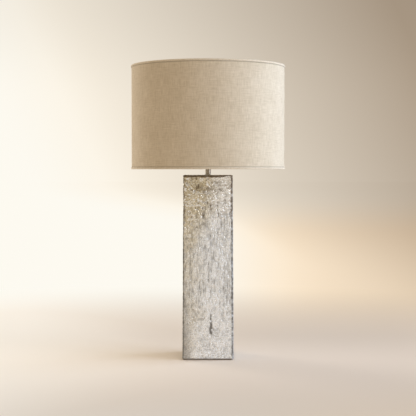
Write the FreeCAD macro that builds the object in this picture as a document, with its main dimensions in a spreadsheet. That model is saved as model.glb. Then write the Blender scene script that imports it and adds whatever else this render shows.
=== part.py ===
import FreeCAD
import Part
import Sketcher
import math
import os
import re

# Table lamp: a square glass column on a pressed steel pan, a neck, a lamp socket with a turn
# switch, and a drum shade that a harp carries. Millimetres, +Z up, origin on the floor below the
# column's centre. The front is -Y. Each size is a cell of the sheet, and each piece is bound to it.

SIZES = (
    # column
    ("column_foot", 133.0, "outer width of the glass at its foot"),
    ("column_head", 128.0, "outer width of the glass at its head"),
    ("column_height", 474.0, "height of the glass"),
    ("glass_wall", 6.0, "wall of the glass"),
    ("corner_round", 4.0, "radius of the upright corners, outside"),
    ("head_round", 3.0, "radius of the edge round the column's head"),
    # what the column stands on
    ("felt_thick", 2.0, "thickness of the felt pad"),
    ("felt_inset", 1.0, "how far the felt stays inside the pan's flange"),
    ("pan_sheet", 2.0, "sheet of the pressed steel pan"),
    ("pan_inset", 1.5, "how far the pan's flange stays inside the glass"),
    ("pan_fit", 1.0, "gap between the pan's raised part and the glass"),
    ("pan_rise", 12.0, "height of the pan's raised part over its flange"),
    # gland in the back wall
    ("gland_height", 32.0, "height of the gland's axis over the floor"),
    ("gland_bore", 7.0, "bore of the gland"),
    ("gland_body", 11.0, "diameter of the gland in the wall"),
    ("gland_flange", 16.0, "diameter of the gland's flanges"),
    ("flange_thick", 2.0, "thickness of the gland's flanges"),
    # centre rod
    ("pipe_outer", 10.0, "outer diameter of the threaded pipe"),
    ("pipe_bore", 6.5, "bore of the threaded pipe"),
    ("pipe_spare", 1.5, "how far the pipe reaches below its nut"),
    ("pipe_fit", 0.4, "play of a plain hole round the pipe, on the diameter"),
    ("washer_outer", 28.0, "diameter of the washer under the pan"),
    ("washer_thick", 1.5, "thickness of the washer"),
    ("nut_flats", 14.0, "width of a pipe nut across its flats"),
    ("nut_thick", 4.5, "thickness of the bottom nut"),
    ("lock_nut_thick", 3.0, "thickness of the nut over the saddle"),
    # neck
    ("neck_outer", 15.0, "outer diameter of the neck"),
    ("neck_height", 20.5, "height of the neck"),
    ("neck_edge", 0.6, "chamfer of the neck's ends"),
    ("bush_body", 13.0, "diameter of the rubber bush in the glass"),
    ("bush_flange", 1.5, "thickness of the bush's flange under the neck"),
    # harp saddle
    ("saddle_sheet", 2.0, "sheet of the saddle"),
    ("saddle_width", 12.0, "width of the saddle's strip"),
    ("saddle_flat", 32.0, "length of the saddle's level middle"),
    ("saddle_climb", 10.0, "height that the saddle's arms climb to their uprights"),
    ("saddle_bend", 3.0, "radius in the saddle's bends"),
    ("upright_height", 3.0, "height of the upright below the shoulder"),
    ("tongue_width", 4.4, "width of the tongues that hold the harp"),
    ("tongue_height", 9.0, "height of the tongues"),
    # harp
    ("harp_spread", 62.0, "distance between the harp's legs at the saddle"),
    ("harp_wire", 4.5, "diameter of the harp's wire"),
    ("harp_height", 242.5, "height of the harp's seat over the saddle's underside"),
    ("harp_bow", 114.0, "greatest width of the harp, at the wire's middle"),
    ("bow_height", 88.0, "how far the harp's widest place lies below its top"),
    ("harp_crown", 16.0, "length of the harp's level top"),
    ("crown_round", 40.0, "radius of the bend on each side of the level top"),
    ("leg_straight", 32.0, "straight lower end of a leg, from the shoulder"),
    ("foot_outer", 6.6, "diameter of the harp's feet"),
    ("foot_height", 16.0, "height of the harp's feet"),
    ("foot_grip", 4.5, "how far the wire goes into its foot"),
    ("slot_fit", 0.3, "play of the tongue in the foot's slot, on each side"),
    ("sleeve_wall", 1.0, "wall of the sliding sleeves"),
    ("sleeve_fit", 0.3, "play of the sleeve round the foot, on the radius"),
    ("sleeve_height", 15.0, "height of the sliding sleeves"),
    ("seat_gap", 0.2, "gap between pieces that move against each other"),
    ("collar_outer", 13.0, "diameter of the collar on the harp's top"),
    ("collar_height", 7.0, "height of that collar"),
    ("stud_outer", 6.2, "diameter of the stud that takes the finial"),
    ("stud_height", 15.0, "height of the stud over its collar"),
    ("shaft_fit", 0.08, "running play round the stud and the switch shaft, on the radius"),
    # lamp socket
    ("hub_outer", 14.0, "diameter of the cap's hub"),
    ("hub_height", 8.0, "height of the cap's hub"),
    ("pipe_grip", 6.5, "how far the pipe goes into the cap"),
    ("cap_sheet", 1.2, "sheet of the socket's cap"),
    ("cap_dome", 11.0, "height of the cap's dome"),
    ("cap_round", 24.0, "radius of the dome's curve, outside"),
    ("cap_skirt", 5.0, "height of the cap's skirt"),
    ("shell_outer", 36.0, "outer diameter of the socket's shell"),
    ("shell_sheet", 0.8, "sheet of the shell"),
    ("shell_height", 38.0, "height of the shell"),
    ("bead_rise", 0.7, "rise of the bead rolled round the shell"),
    ("bead_width", 2.8, "height of the bead"),
    ("bead_drop", 5.0, "how far the bead lies below the shell's rim"),
    ("shell_seat", 3.0, "how far the shell goes into the cap"),
    ("ledge_width", 3.0, "width of the cap's inner ledge under shell, sleeve and body"),
    ("liner_fit", 0.2, "play between the socket's shell, sleeve and body, on the radius"),
    ("liner_sheet", 0.8, "wall of the insulating sleeve"),
    ("liner_short", 1.5, "how far the sleeve stays below the shell's rim"),
    ("block_height", 15.0, "height of the moulded socket body"),
    ("block_flange", 2.5, "height of the flange that the socket body stands on"),
    ("thread_sheet", 0.7, "sheet of the screw shell"),
    ("thread_height", 18.0, "height of the screw shell"),
    ("tongue_lift", 2.0, "height of the centre contact"),
    ("tongue_length", 10.0, "length of the centre contact"),
    ("terminal_head", 6.0, "diameter of a terminal screw's head"),
    ("terminal_rise", 1.2, "height of a terminal screw's head"),
    ("terminal_drop", 5.0, "how far the terminal screws lie below the socket body's top"),
    ("set_screw_outer", 3.0, "diameter of the cap's set screw"),
    ("set_screw_key", 1.0, "diameter of the hole for the set screw's key"),
    ("set_screw_stand", 0.8, "how far the set screw stands out of the hub"),
    # switch
    ("switch_rise", 8.0, "height of the switch shaft over the socket body's underside"),
    ("shaft_outer", 4.0, "diameter of the switch shaft"),
    ("shaft_depth", 7.0, "how far the switch shaft goes into the socket body"),
    ("window_fit", 1.5, "play of the holes in shell and sleeve round the shaft, on the radius"),
    ("knob_outer", 12.0, "diameter of the switch knob"),
    ("knob_neck", 8.0, "diameter of the knob where it meets the shaft"),
    ("knob_flare", 3.2, "length over which the knob widens from its neck"),
    ("knob_length", 13.0, "length of the switch knob"),
    ("knob_stand", 1.5, "gap between the shell and the knob"),
    ("knob_flute", 1.6, "diameter of the flutes in the knob"),
    # bulb
    ("bulb_base_outer", 26.2, "diameter of the bulb's screw base"),
    ("bulb_base_height", 21.0, "height of the bulb's screw base"),
    ("bulb_base_sheet", 0.8, "sheet of the bulb's screw base"),
    ("bulb_nib_height", 3.0, "height of the bulb's insulator and contact"),
    ("bulb_nib_outer", 13.0, "diameter of the bulb's insulator"),
    ("bulb_tip_outer", 8.8, "diameter of the bulb's contact"),
    ("bulb_play", 0.4, "play of the bulb's base in the screw shell, on the radius"),
    ("bulb_outer", 60.0, "diameter of the bulb's globe"),
    ("bulb_length", 110.0, "length of the bulb with its base"),
    ("bulb_neck", 27.0, "diameter of the globe's neck"),
    ("bulb_wall", 1.0, "wall of the globe"),
    # shade
    ("shade_outer", 400.0, "outer diameter of the linen drum"),
    ("shade_height", 270.0, "height of the shade with its trim"),
    ("linen_thick", 0.8, "thickness of the linen"),
    ("backing_thick", 1.0, "thickness of the stiff backing"),
    ("trim_thick", 0.6, "thickness of the trim over the shade's rim and under its hem"),
    ("trim_width", 5.4, "height of the trim's rolled edge"),
    ("trim_roll", 1.5, "how far the trim's rolled edge stands out from the cloth"),
    ("frame_wire", 3.4, "diameter of the shade frame's wire"),
    ("spider_drop", 15.5, "how far the hub's top lies below the shade's rim"),
    ("hub_ring", 26.0, "diameter of the spider's hub"),
    ("hub_thick", 4.8, "thickness of the spider's hub"),
    ("hub_grip", 5.0, "how far an arm goes into the hub"),
    ("arm_foot", 9.0, "level stretch of an arm beside the hub"),
    ("arm_run", 18.0, "distance out along which an arm climbs"),
    ("arm_bend", 8.0, "radius of the bends in a spider arm"),
    # finial
    ("finial_foot", 15.0, "diameter of the finial's foot"),
    ("finial_foot_height", 3.0, "height of the finial's foot"),
    ("finial_waist", 10.0, "diameter of the finial's waist"),
    ("finial_ball", 16.0, "diameter of the finial's ball"),
    ("finial_height", 23.0, "height of the finial"),
    ("finial_depth", 13.0, "depth of the finial's bore"),
)

# Heights and radii that follow from the sizes above, as formulas of the sheet.
RESULTS = (
    ("glass_base", "felt_thick + pan_sheet"),
    ("column_top", "glass_base + column_height"),
    ("column_narrowing", "(column_foot - column_head) / 2"),
    ("column_slope", "column_narrowing / column_height"),
    ("inner_foot", "column_foot - 2 * glass_wall"),
    ("pan_flange", "column_foot - 2 * pan_inset"),
    ("pan_block", "inner_foot - 2 * pan_fit"),
    ("pan_top", "glass_base + pan_rise"),
    ("pan_ceiling", "pan_top - pan_sheet"),
    ("nut_top", "pan_ceiling - washer_thick"),
    ("neck_base", "column_top + bush_flange"),
    ("neck_top", "neck_base + neck_height"),
    ("saddle_middle", "neck_top + saddle_sheet / 2"),
    ("saddle_corner", "saddle_middle + saddle_climb"),
    ("shoulder", "saddle_corner + upright_height"),
    ("lock_nut_base", "neck_top + saddle_sheet"),
    ("cap_base", "lock_nut_base + lock_nut_thick"),
    ("pipe_top", "cap_base + pipe_grip"),
    ("dome_base", "cap_base + hub_height"),
    ("dome_top", "dome_base + cap_dome"),
    ("cap_top", "dome_top + cap_skirt"),
    ("shell_base", "cap_top - shell_seat"),
    ("shell_top", "shell_base + shell_height"),
    ("bead_round", "(bead_width^2 / 4 + bead_rise^2) / (2 * bead_rise)"),
    ("sleeve_outer", "shell_outer - 2 * shell_sheet - 2 * liner_fit"),
    ("sleeve_top", "shell_top - liner_short"),
    ("sleeve_bore", "sleeve_outer - 2 * liner_sheet"),
    ("block_foot", "sleeve_bore - 2 * liner_fit"),
    ("block_outer", "sqrt(block_foot^2 - terminal_head^2) - 2 * terminal_rise"),
    ("block_top", "shell_base + block_height"),
    ("thread_bore", "bulb_base_outer + 2 * bulb_play"),
    ("switch_height", "shell_base + switch_rise"),
    ("terminal_height", "block_top - terminal_drop"),
    ("bulb_nib_base", "block_top + tongue_lift + seat_gap"),
    ("bulb_base_bottom", "bulb_nib_base + bulb_nib_height"),
    ("bulb_neck_base", "bulb_base_bottom + bulb_base_height"),
    ("bulb_centre", "bulb_nib_base + bulb_length - bulb_outer / 2"),
    ("bulb_rise", "bulb_centre - bulb_neck_base"),
    ("bulb_flare", "((bulb_neck / 2)^2 + bulb_rise^2 - (bulb_outer / 2)^2) / (bulb_outer - bulb_neck)"),
    ("bulb_reach", "bulb_flare + bulb_outer / 2"),
    ("foot_base", "shoulder + seat_gap"),
    ("foot_top", "foot_base + foot_height"),
    ("harp_seat", "neck_top + harp_height"),
    ("crown_height", "harp_seat - collar_height / 2"),
    ("crown_bend", "min(crown_round; 0.9 * (harp_bow - harp_crown) / 2)"),
    ("bow_level", "crown_height - bow_height"),
    ("bow_run", "(harp_bow - harp_crown) / 2"),
    ("bow_fall", "bow_height - crown_bend"),
    ("side_round", "(bow_fall^2 + bow_run^2 - crown_bend^2) / (2 * (bow_run - crown_bend))"),
    ("side_centre", "harp_bow / 2 - side_round"),
    ("side_share", "side_round / (side_round - crown_bend)"),
    ("side_join_out", "side_centre + (harp_crown / 2 - side_centre) * side_share"),
    ("side_join_up", "bow_level + bow_fall * side_share"),
    ("leg_top", "shoulder + leg_straight"),
    ("leg_swing", "(harp_bow - harp_spread) / 2"),
    ("leg_run", "bow_level - leg_top"),
    ("leg_round", "(leg_swing^2 + leg_run^2) / (4 * leg_swing)"),
    ("ferrule_bore", "foot_outer + 2 * sleeve_fit"),
    ("hub_base", "harp_seat + seat_gap"),
    ("hub_top", "hub_base + hub_thick"),
    ("hub_middle", "hub_base + hub_thick / 2"),
    ("rim", "hub_top + spider_drop"),
    ("hem", "rim - shade_height"),
    ("linen_bore", "shade_outer - 2 * linen_thick"),
    ("backing_bore", "linen_bore - 2 * backing_thick"),
    ("trim_round", "((trim_width / 2)^2 + trim_roll^2) / (2 * trim_roll)"),
    ("ring_middle", "backing_bore / 2 - frame_wire / 2"),
    ("top_ring_height", "rim - trim_thick - frame_wire / 2"),
    ("bottom_ring_height", "hem + trim_thick + frame_wire / 2"),
    ("arm_outer", "sqrt((ring_middle - frame_wire / 2)^2 - (frame_wire / 2)^2)"),
    ("arm_inner", "hub_ring / 2 - hub_grip"),
    ("arm_low", "hub_ring / 2 + arm_foot"),
    ("arm_high", "arm_low + arm_run"),
    ("arm_climb", "top_ring_height - hub_middle"),
    ("arm_slant", "sqrt(arm_run^2 + arm_climb^2)"),
    ("arm_back", "arm_bend * (arm_slant - arm_run) / arm_climb"),
    ("arm_back_out", "arm_back * arm_run / arm_slant"),
    ("arm_back_up", "arm_back * arm_climb / arm_slant"),
    ("finial_base", "hub_top + seat_gap"),
    ("finial_middle", "finial_base + finial_height - finial_ball / 2"),
)

ARMS = 3
ARM_START = 90
FLUTES = 8
OUT = "parts"
WORD = re.compile("[a-z_]+")
CLOSE = 1e-4
UP = FreeCAD.Vector(0, 0, 1)
TO_FRONT = FreeCAD.Rotation(FreeCAD.Vector(1, 0, 0), 90)
TO_BACK = FreeCAD.Rotation(FreeCAD.Vector(1, 0, 0), -90)
TO_RIGHT = FreeCAD.Rotation(FreeCAD.Vector(0, 1, 0), 90)
TO_LEFT = FreeCAD.Rotation(FreeCAD.Vector(0, 1, 0), -90)
COLUMN_TAPER = "-atan(column_slope)"

doc = FreeCAD.newDocument("TableLamp")
sheet = doc.addObject("Spreadsheet::Sheet", "Sizes")
aliases = set()
pieces = []


def enter(alias, text, note=""):
    """One row of the sheet: the size's name, its cell and what it is."""
    row = len(aliases) + 1
    sheet.set(f"A{row}", alias)
    sheet.set(f"B{row}", text)
    sheet.set(f"C{row}", note)
    sheet.setAlias(f"B{row}", alias)
    aliases.add(alias)


def formula(text):
    """The formula with each size's name pointing at the sheet."""
    return WORD.sub(lambda word: ("Sizes." if word[0] in aliases else "") + word[0], text)


def value(text):
    return float(sheet.evalExpression(text))


def bind(thing, place, text):
    thing.setExpression(place, formula(text))


def piece(label):
    """An empty body under the name of its piece."""
    body = doc.addObject("PartDesign::Body", label)
    body.Label = label
    pieces.append(body)
    return body


def place(body, height="0", out="0", turn=FreeCAD.Rotation()):
    """Turns the body and moves it up, and out along X."""
    body.Placement = FreeCAD.Placement(FreeCAD.Vector(value(out), 0, value(height)), turn)
    bind(body, "Placement.Base.x", out)
    bind(body, "Placement.Base.z", height)


def sketch_on(body, plane, offset="0"):
    """A sketch on one of the body's own planes, moved along the plane's normal."""
    sketch = body.newObject("Sketcher::SketchObject", body.Name + "_sketch")
    origin = next(item for item in body.Origin.OriginFeatures if item.Role == plane)
    sketch.AttachmentSupport = [(origin, "")]
    sketch.MapMode = "FlatFace"
    bind(sketch, "AttachmentOffset.Base.z", offset)
    return sketch


def pin(sketch, geometry, end, across, along):
    """Ties one point of the sketch to two formulas."""
    for kind, axis, text in (("DistanceX", -2, across), ("DistanceY", -1, along)):
        if text == "0":
            sketch.addConstraint(Sketcher.Constraint("PointOnObject", geometry, end, axis))
        else:
            index = sketch.addConstraint(
                Sketcher.Constraint(kind, -1, 1, geometry, end, value(text)))
            bind(sketch, f"Constraints[{index}]", text)


def arc_between(start, end, radius, turn):
    """The short arc from start to end; turn is 1 to the left and -1 to the right."""
    chord = end - start
    reach = math.sqrt(max(radius ** 2 - chord.Length ** 2 / 4, 0))
    side = FreeCAD.Vector(-chord.y, chord.x, 0).normalize()
    centre = (start + end) / 2 + side * reach * turn
    first, last = (start, end) if turn > 0 else (end, start)
    angles = [math.atan2(spot.y - centre.y, spot.x - centre.x) for spot in (first, last)]
    return Part.ArcOfCircle(Part.Circle(centre, UP, radius), *angles)


def trace(sketch, corners, closed=True):
    """Lines and arcs through corners, each two formulas. An arc leaves a corner that also has a
    radius and a turn."""
    spots = [FreeCAD.Vector(value(corner[0]), value(corner[1]), 0) for corner in corners]
    edges = []
    for number, corner in enumerate(corners if closed else corners[:-1]):
        start = spots[number]
        end = spots[(number + 1) % len(spots)]
        if len(corner) == 2:
            edges.append((sketch.addGeometry(Part.LineSegment(start, end)), 1, 2))
            continue
        radius, turn = corner[2:]
        edge = sketch.addGeometry(arc_between(start, end, value(radius), turn))
        edges.append((edge, 1, 2) if turn > 0 else (edge, 2, 1))
    for (edge, _, tail), (following, head, _) in zip(edges, edges[1:] + edges[:1]):
        if closed or following != edges[0][0]:
            sketch.addConstraint(Sketcher.Constraint("Coincident", edge, tail, following, head))
    for (edge, head, _), corner in zip(edges, corners):
        pin(sketch, edge, head, corner[0], corner[1])
        if len(corner) > 2:
            index = sketch.addConstraint(Sketcher.Constraint("Radius", edge, value(corner[2])))
            bind(sketch, f"Constraints[{index}]", corner[2])
    if not closed:
        pin(sketch, edges[-1][0], edges[-1][2], *corners[-1][:2])


def circle(sketch, diameter, across="0", along="0"):
    centre = FreeCAD.Vector(value(across), value(along), 0)
    edge = sketch.addGeometry(Part.Circle(centre, UP, value(diameter) / 2))
    pin(sketch, edge, 3, across, along)
    index = sketch.addConstraint(Sketcher.Constraint("Diameter", edge, value(diameter)))
    bind(sketch, f"Constraints[{index}]", diameter)


def rectangle(sketch, width, depth, across="0"):
    """A rectangle about a point of the sketch's X axis."""
    left, right = f"{across} - ({width}) / 2", f"{across} + ({width}) / 2"
    low, high = f"-({depth}) / 2", f"({depth}) / 2"
    trace(sketch, [(left, low), (right, low), (right, high), (left, high)])


def rounded_square(sketch, width, radius):
    """A square about the origin with rounded corners."""
    far, near = f"({width}) / 2", f"(({width}) / 2 - ({radius}))"
    trace(sketch, [
        (f"-{near}", f"-{far}"), (near, f"-{far}", radius, 1),
        (far, f"-{near}"), (far, near, radius, 1),
        (near, far), (f"-{near}", far, radius, 1),
        (f"-{far}", near), (f"-{far}", f"-{near}", radius, 1)])


def hexagon(sketch, flats):
    """A hexagon with two of its flats across X."""
    half, point, rise = f"{flats} / 2", f"{flats} / sqrt(3)", f"{flats} / sqrt(12)"
    trace(sketch, [
        ("0", f"-{point}"), (half, f"-{rise}"), (half, rise),
        ("0", point), (f"-{half}", rise), (f"-{half}", f"-{rise}")])


def feature(body, kind, profile, **settings):
    """A feature of the body. A formula is given as text and becomes an expression."""
    item = body.newObject("PartDesign::" + kind, body.Name + "_" + kind.lower())
    item.Profile = profile
    for name, setting in settings.items():
        if name in ("Length", "TaperAngle"):
            bind(item, name, setting)
        else:
            setattr(item, name, setting)
    profile.Visibility = False
    doc.recompute()
    return item


def cut(body, kind, profile, **settings):
    """A feature that takes material away, and is checked to have done so."""
    before = body.Shape.Volume
    item = feature(body, kind, profile, **settings)
    if body.Shape.Volume >= before:
        raise ValueError(f"{item.Label} cuts nothing")
    return item


def turned(body, corners):
    """A solid of revolution about Z; each corner is a radius and a height."""
    profile = sketch_on(body, "XZ_Plane")
    trace(profile, corners)
    return feature(body, "Revolution", profile, ReferenceAxis=(profile, ["V_Axis"]))


def tube(body, outer, bore, low, high):
    return turned(body, [
        (f"({bore}) / 2", low), (f"({outer}) / 2", low),
        (f"({outer}) / 2", high), (f"({bore}) / 2", high)])


def edges_where(body, test):
    """Names of the body's edges that pass the test."""
    return [f"Edge{number}" for number, edge in enumerate(body.Shape.Edges, 1) if test(edge)]


def dress(body, kind, names, size, place):
    """A fillet or chamfer along the named edges."""
    if not names:
        raise ValueError(f"{body.Label} has no edge to dress")
    base = body.Tip
    item = body.newObject("PartDesign::" + kind, body.Name + "_" + kind.lower())
    item.Base = (base, names)
    bind(item, place, size)
    doc.recompute()
    return item


def level(edge, height):
    """Whether the edge lies all along at this height."""
    box = edge.BoundBox
    return abs(box.ZMin - height) < CLOSE and abs(box.ZMax - height) < CLOSE


def make_glass_column():
    """Hollow glass: a tapered square, closed at its head but for the pipe's hole."""
    body = piece("glass_column")
    foot = sketch_on(body, "XY_Plane", "glass_base")
    rounded_square(foot, "column_foot", "corner_round + column_narrowing")
    feature(body, "Pad", foot, Length="column_height", TaperAngle=COLUMN_TAPER)
    top = value("column_top")
    dress(body, "Fillet", edges_where(body, lambda edge: level(edge, top)), "head_round", "Radius")
    mouth = sketch_on(body, "XY_Plane", "glass_base")
    rounded_square(mouth, "inner_foot", "corner_round / 2 + column_narrowing")
    cut(body, "Pocket", mouth, Length="column_height - glass_wall", TaperAngle=COLUMN_TAPER,
        Reversed=True)
    hole = sketch_on(body, "XY_Plane", "column_top")
    circle(hole, "bush_body")
    cut(body, "Pocket", hole, Length="glass_wall * 2")
    outlet = sketch_on(body, "XZ_Plane")
    circle(outlet, "gland_body", "0", "gland_height")
    cut(body, "Pocket", outlet, Length="column_foot")


def make_base():
    """Pressed pan that lifts the glass and holds the pipe's nut, and the felt under it."""
    pan = piece("base_pan")
    flange = sketch_on(pan, "XY_Plane", "felt_thick")
    rounded_square(flange, "pan_flange", "corner_round")
    feature(pan, "Pad", flange, Length="pan_sheet")
    block = sketch_on(pan, "XY_Plane", "felt_thick")
    rounded_square(block, "pan_block", "corner_round + pan_sheet")
    feature(pan, "Pad", block, Length="pan_sheet + pan_rise")
    hollow = sketch_on(pan, "XY_Plane", "pan_ceiling")
    rounded_square(hollow, "pan_block - 2 * pan_sheet", "corner_round")
    cut(pan, "Pocket", hollow, Length="pan_ceiling - felt_thick")
    hole = sketch_on(pan, "XY_Plane", "pan_top")
    circle(hole, "pipe_outer + pipe_fit")
    cut(pan, "Pocket", hole, Length="pan_sheet * 2")
    felt = piece("felt_pad")
    sheet_of_felt = sketch_on(felt, "XY_Plane")
    rounded_square(sheet_of_felt, "pan_flange - 2 * felt_inset", "corner_round")
    feature(felt, "Pad", sheet_of_felt, Length="felt_thick")


def make_cord_gland():
    """Rubber bush in the back wall, with a flange on each side of the glass. Its own Z axis runs
    out through the wall, from the wall's inner face."""
    body = piece("cord_gland")
    inside = "(inner_foot / 2 - column_slope * (gland_height + gland_flange / 2 - glass_base))"
    outside = "(column_foot / 2 - column_slope * (gland_height - gland_flange / 2 - glass_base))"
    bore, neck, flange = "gland_bore / 2", "gland_body / 2", "gland_flange / 2"
    turned(body, [
        (bore, f"{inside} - flange_thick"), (flange, f"{inside} - flange_thick"),
        (flange, inside), (neck, inside), (neck, outside), (flange, outside),
        (flange, f"{outside} + flange_thick"), (bore, f"{outside} + flange_thick")])
    place(body, "gland_height", turn=TO_BACK)


def make_centre_rod():
    """The threaded pipe that draws the lamp together, with the nut and washer under the pan."""
    tube(piece("threaded_pipe"), "pipe_outer", "pipe_bore", "nut_top - nut_thick - pipe_spare",
         "pipe_top")
    tube(piece("bottom_washer"), "washer_outer", "pipe_outer + pipe_fit", "nut_top", "pan_ceiling")
    for label, base, thickness in (("bottom_nut", "nut_top - nut_thick", "nut_thick"),
                                   ("lock_nut", "lock_nut_base", "lock_nut_thick")):
        nut = piece(label)
        profile = sketch_on(nut, "XY_Plane", base)
        hexagon(profile, "nut_flats")
        circle(profile, "pipe_outer")
        feature(nut, "Pad", profile, Length=thickness)


def make_neck():
    """Rubber bush in the column's head, and the nickel tube that stands on its flange."""
    bore, pipe = "pipe_outer / 2", "(pipe_outer + pipe_fit) / 2"
    turned(piece("top_bush"), [
        (bore, "column_top - glass_wall"), ("bush_body / 2", "column_top - glass_wall"),
        ("bush_body / 2", "column_top"), ("neck_outer / 2", "column_top"),
        ("neck_outer / 2", "neck_base"), (bore, "neck_base")])
    turned(piece("neck_tube"), [
        (pipe, "neck_base"), ("neck_outer / 2 - neck_edge", "neck_base"),
        ("neck_outer / 2", "neck_base + neck_edge"), ("neck_outer / 2", "neck_top - neck_edge"),
        ("neck_outer / 2 - neck_edge", "neck_top"), (pipe, "neck_top")])


def make_harp_saddle():
    """Bent strip whose ends narrow to the tongues that the harp's feet stand on."""
    body = piece("harp_saddle")
    reach, flat, tip = "harp_spread / 2", "saddle_flat / 2", "shoulder + tongue_height"
    spine = sketch_on(body, "XZ_Plane")
    trace(spine, [
        (f"-{reach}", tip), (f"-{reach}", "saddle_corner"), (f"-{flat}", "saddle_middle"),
        (flat, "saddle_middle"), (reach, "saddle_corner"), (reach, tip)], closed=False)
    strip = sketch_on(body, "XY_Plane", tip)
    rectangle(strip, "saddle_sheet", "saddle_width", f"-{reach}")
    feature(body, "AdditivePipe", strip, Spine=(spine, []), Transition="Right corner")
    low, high = value("neck_top") - CLOSE, value("shoulder")
    width = value("saddle_width")

    def in_a_bend(edge):
        box = edge.BoundBox
        return abs(box.YLength - width) < CLOSE and low < box.ZMin < high
    dress(body, "Fillet", edges_where(body, in_a_bend), "saddle_bend", "Radius")
    for side in ("", "-"):
        shoulders = sketch_on(body, "YZ_Plane")
        near, far = f"{side}tongue_width / 2", f"{side}saddle_width"
        trace(shoulders, [(near, "shoulder"), (far, "shoulder"), (far, f"{tip} + tongue_height"),
                          (near, f"{tip} + tongue_height")])
        cut(body, "Pocket", shoulders, Length="harp_spread * 2", Midplane=True)
    hole = sketch_on(body, "XY_Plane", "saddle_middle + saddle_sheet")
    circle(hole, "pipe_outer + pipe_fit")
    cut(body, "Pocket", hole, Length="saddle_sheet * 2")


def make_socket():
    """Lamp socket: cap with its set screw, shell, insulating sleeve, moulded body with its
    terminals, screw shell and centre contact."""
    hub, grip = "hub_outer / 2", "pipe_outer / 2"
    skirt, inner = "(shell_outer / 2 + cap_sheet)", "shell_outer / 2"
    hollow = "shell_outer / 2 - ledge_width"
    cap = piece("socket_cap")
    turned(cap, [
        (grip, "cap_base"), (hub, "cap_base"), (hub, "dome_base", "cap_round", -1),
        (skirt, "dome_top"), (skirt, "cap_top"), (inner, "cap_top"), (inner, "shell_base"),
        (hollow, "shell_base"), (hollow, "dome_top", "cap_round - cap_sheet", 1),
        (grip, "dome_base")])
    tapping = sketch_on(cap, "XZ_Plane")
    circle(tapping, "set_screw_outer", "0", "cap_base + hub_height / 2")
    cut(cap, "Pocket", tapping, Length="hub_outer")
    screw = piece("cap_set_screw")
    tube(screw, "set_screw_outer", "set_screw_key", grip, f"{hub} + set_screw_stand")
    place(screw, "cap_base + hub_height / 2", turn=TO_BACK)
    make_socket_shell()
    make_socket_body()


def make_socket_shell():
    """Thin shell with a rolled bead, and the sleeve inside it. The shaft leaves through both."""
    shell = piece("socket_shell")
    radius = "shell_outer / 2"
    low, high = "shell_top - bead_drop - bead_width", "shell_top - bead_drop"
    bore = f"{radius} - shell_sheet"
    turned(shell, [
        (bore, "shell_base"), (radius, "shell_base"), (radius, low, "bead_round", 1), (radius, high),
        (radius, "shell_top"), (bore, "shell_top")])
    sleeve = piece("socket_sleeve")
    tube(sleeve, "sleeve_outer", "sleeve_bore", "shell_base", "sleeve_top")
    for body in (shell, sleeve):
        window = sketch_on(body, "XZ_Plane")
        circle(window, "shaft_outer + 2 * window_fit", "0", "switch_height")
        cut(body, "Pocket", window, Length="shell_outer", Reversed=True)


def make_socket_body():
    """Moulded block with the switch in it, and the metal that the bulb screws into."""
    block = piece("socket_body")
    turned(block, [
        ("0", "shell_base"), ("block_foot / 2", "shell_base"),
        ("block_foot / 2", "shell_base + block_flange"),
        ("block_outer / 2", "shell_base + block_flange"), ("block_outer / 2", "block_top"),
        ("0", "block_top")])
    bearing = sketch_on(block, "XZ_Plane", "block_outer / 2 - shaft_depth - seat_gap")
    circle(bearing, "shaft_outer + 2 * shaft_fit", "0", "switch_height")
    cut(block, "Pocket", bearing, Length="block_outer", Reversed=True)
    outer, bore = "thread_bore / 2 + thread_sheet", "thread_bore / 2"
    mouth, top = "tongue_length", "block_top + thread_height"
    turned(piece("screw_shell"), [
        (mouth, "block_top"), (outer, "block_top"), (outer, top), (bore, top),
        (bore, "block_top + thread_sheet"), (mouth, "block_top + thread_sheet")])
    contact = piece("centre_contact")
    leaf = sketch_on(contact, "XZ_Plane")
    half, sheet_of_leaf = "tongue_length / 2", "thread_sheet"
    trace(leaf, [
        (f"-{half}", "block_top"), ("0", "block_top"), ("0", f"block_top + {sheet_of_leaf}"),
        (f"-{half} / 2", f"block_top + {sheet_of_leaf}"),
        (f"-{half} / 2", f"block_top + tongue_lift - {sheet_of_leaf}"),
        (half, f"block_top + tongue_lift - {sheet_of_leaf}"), (half, "block_top + tongue_lift"),
        (f"-{half}", "block_top + tongue_lift")])
    feature(contact, "Pad", leaf, Length="tongue_length / 2", Midplane=True)
    for label, turn in (("hot_terminal_screw", TO_RIGHT), ("neutral_terminal_screw", TO_LEFT)):
        screw = piece(label)
        head = sketch_on(screw, "XY_Plane", "block_outer / 2")
        circle(head, "terminal_head")
        feature(screw, "Pad", head, Length="terminal_rise")
        place(screw, "terminal_height", turn=turn)


def make_switch():
    """Turn switch: a shaft and a fluted knob, along their own Z axis."""
    shaft = piece("switch_shaft")
    start = "block_outer / 2 - shaft_depth"
    knob_base, reach = "shell_outer / 2 + knob_stand", "knob_length / 2"
    profile = sketch_on(shaft, "XY_Plane", start)
    circle(profile, "shaft_outer")
    feature(shaft, "Pad", profile, Length=f"{knob_base} + {reach} - ({start})")
    knob = piece("switch_knob")
    rim, neck, tip = "knob_outer / 2", "knob_neck / 2", f"{knob_base} + knob_length"
    turned(knob, [
        ("shaft_outer / 2", knob_base), (neck, knob_base), (rim, f"{knob_base} + knob_flare"),
        (rim, f"{tip} - knob_flute"), (f"{rim} - knob_flute", tip), ("0", tip),
        ("0", f"{knob_base} + {reach}"), ("shaft_outer / 2", f"{knob_base} + {reach}")])
    flute = sketch_on(knob, "XY_Plane", f"{tip} + knob_flute")
    circle(flute, "knob_flute", rim)
    groove = cut(knob, "Pocket", flute, Length="knob_length + knob_flute")
    ring = knob.newObject("PartDesign::PolarPattern", "switch_knob_flutes")
    ring.Originals = [groove]
    ring.Axis = (flute, ["N_Axis"])
    ring.Occurrences = FLUTES
    knob.Tip = ring
    for body in (shaft, knob):
        place(body, "switch_height", turn=TO_FRONT)


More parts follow.
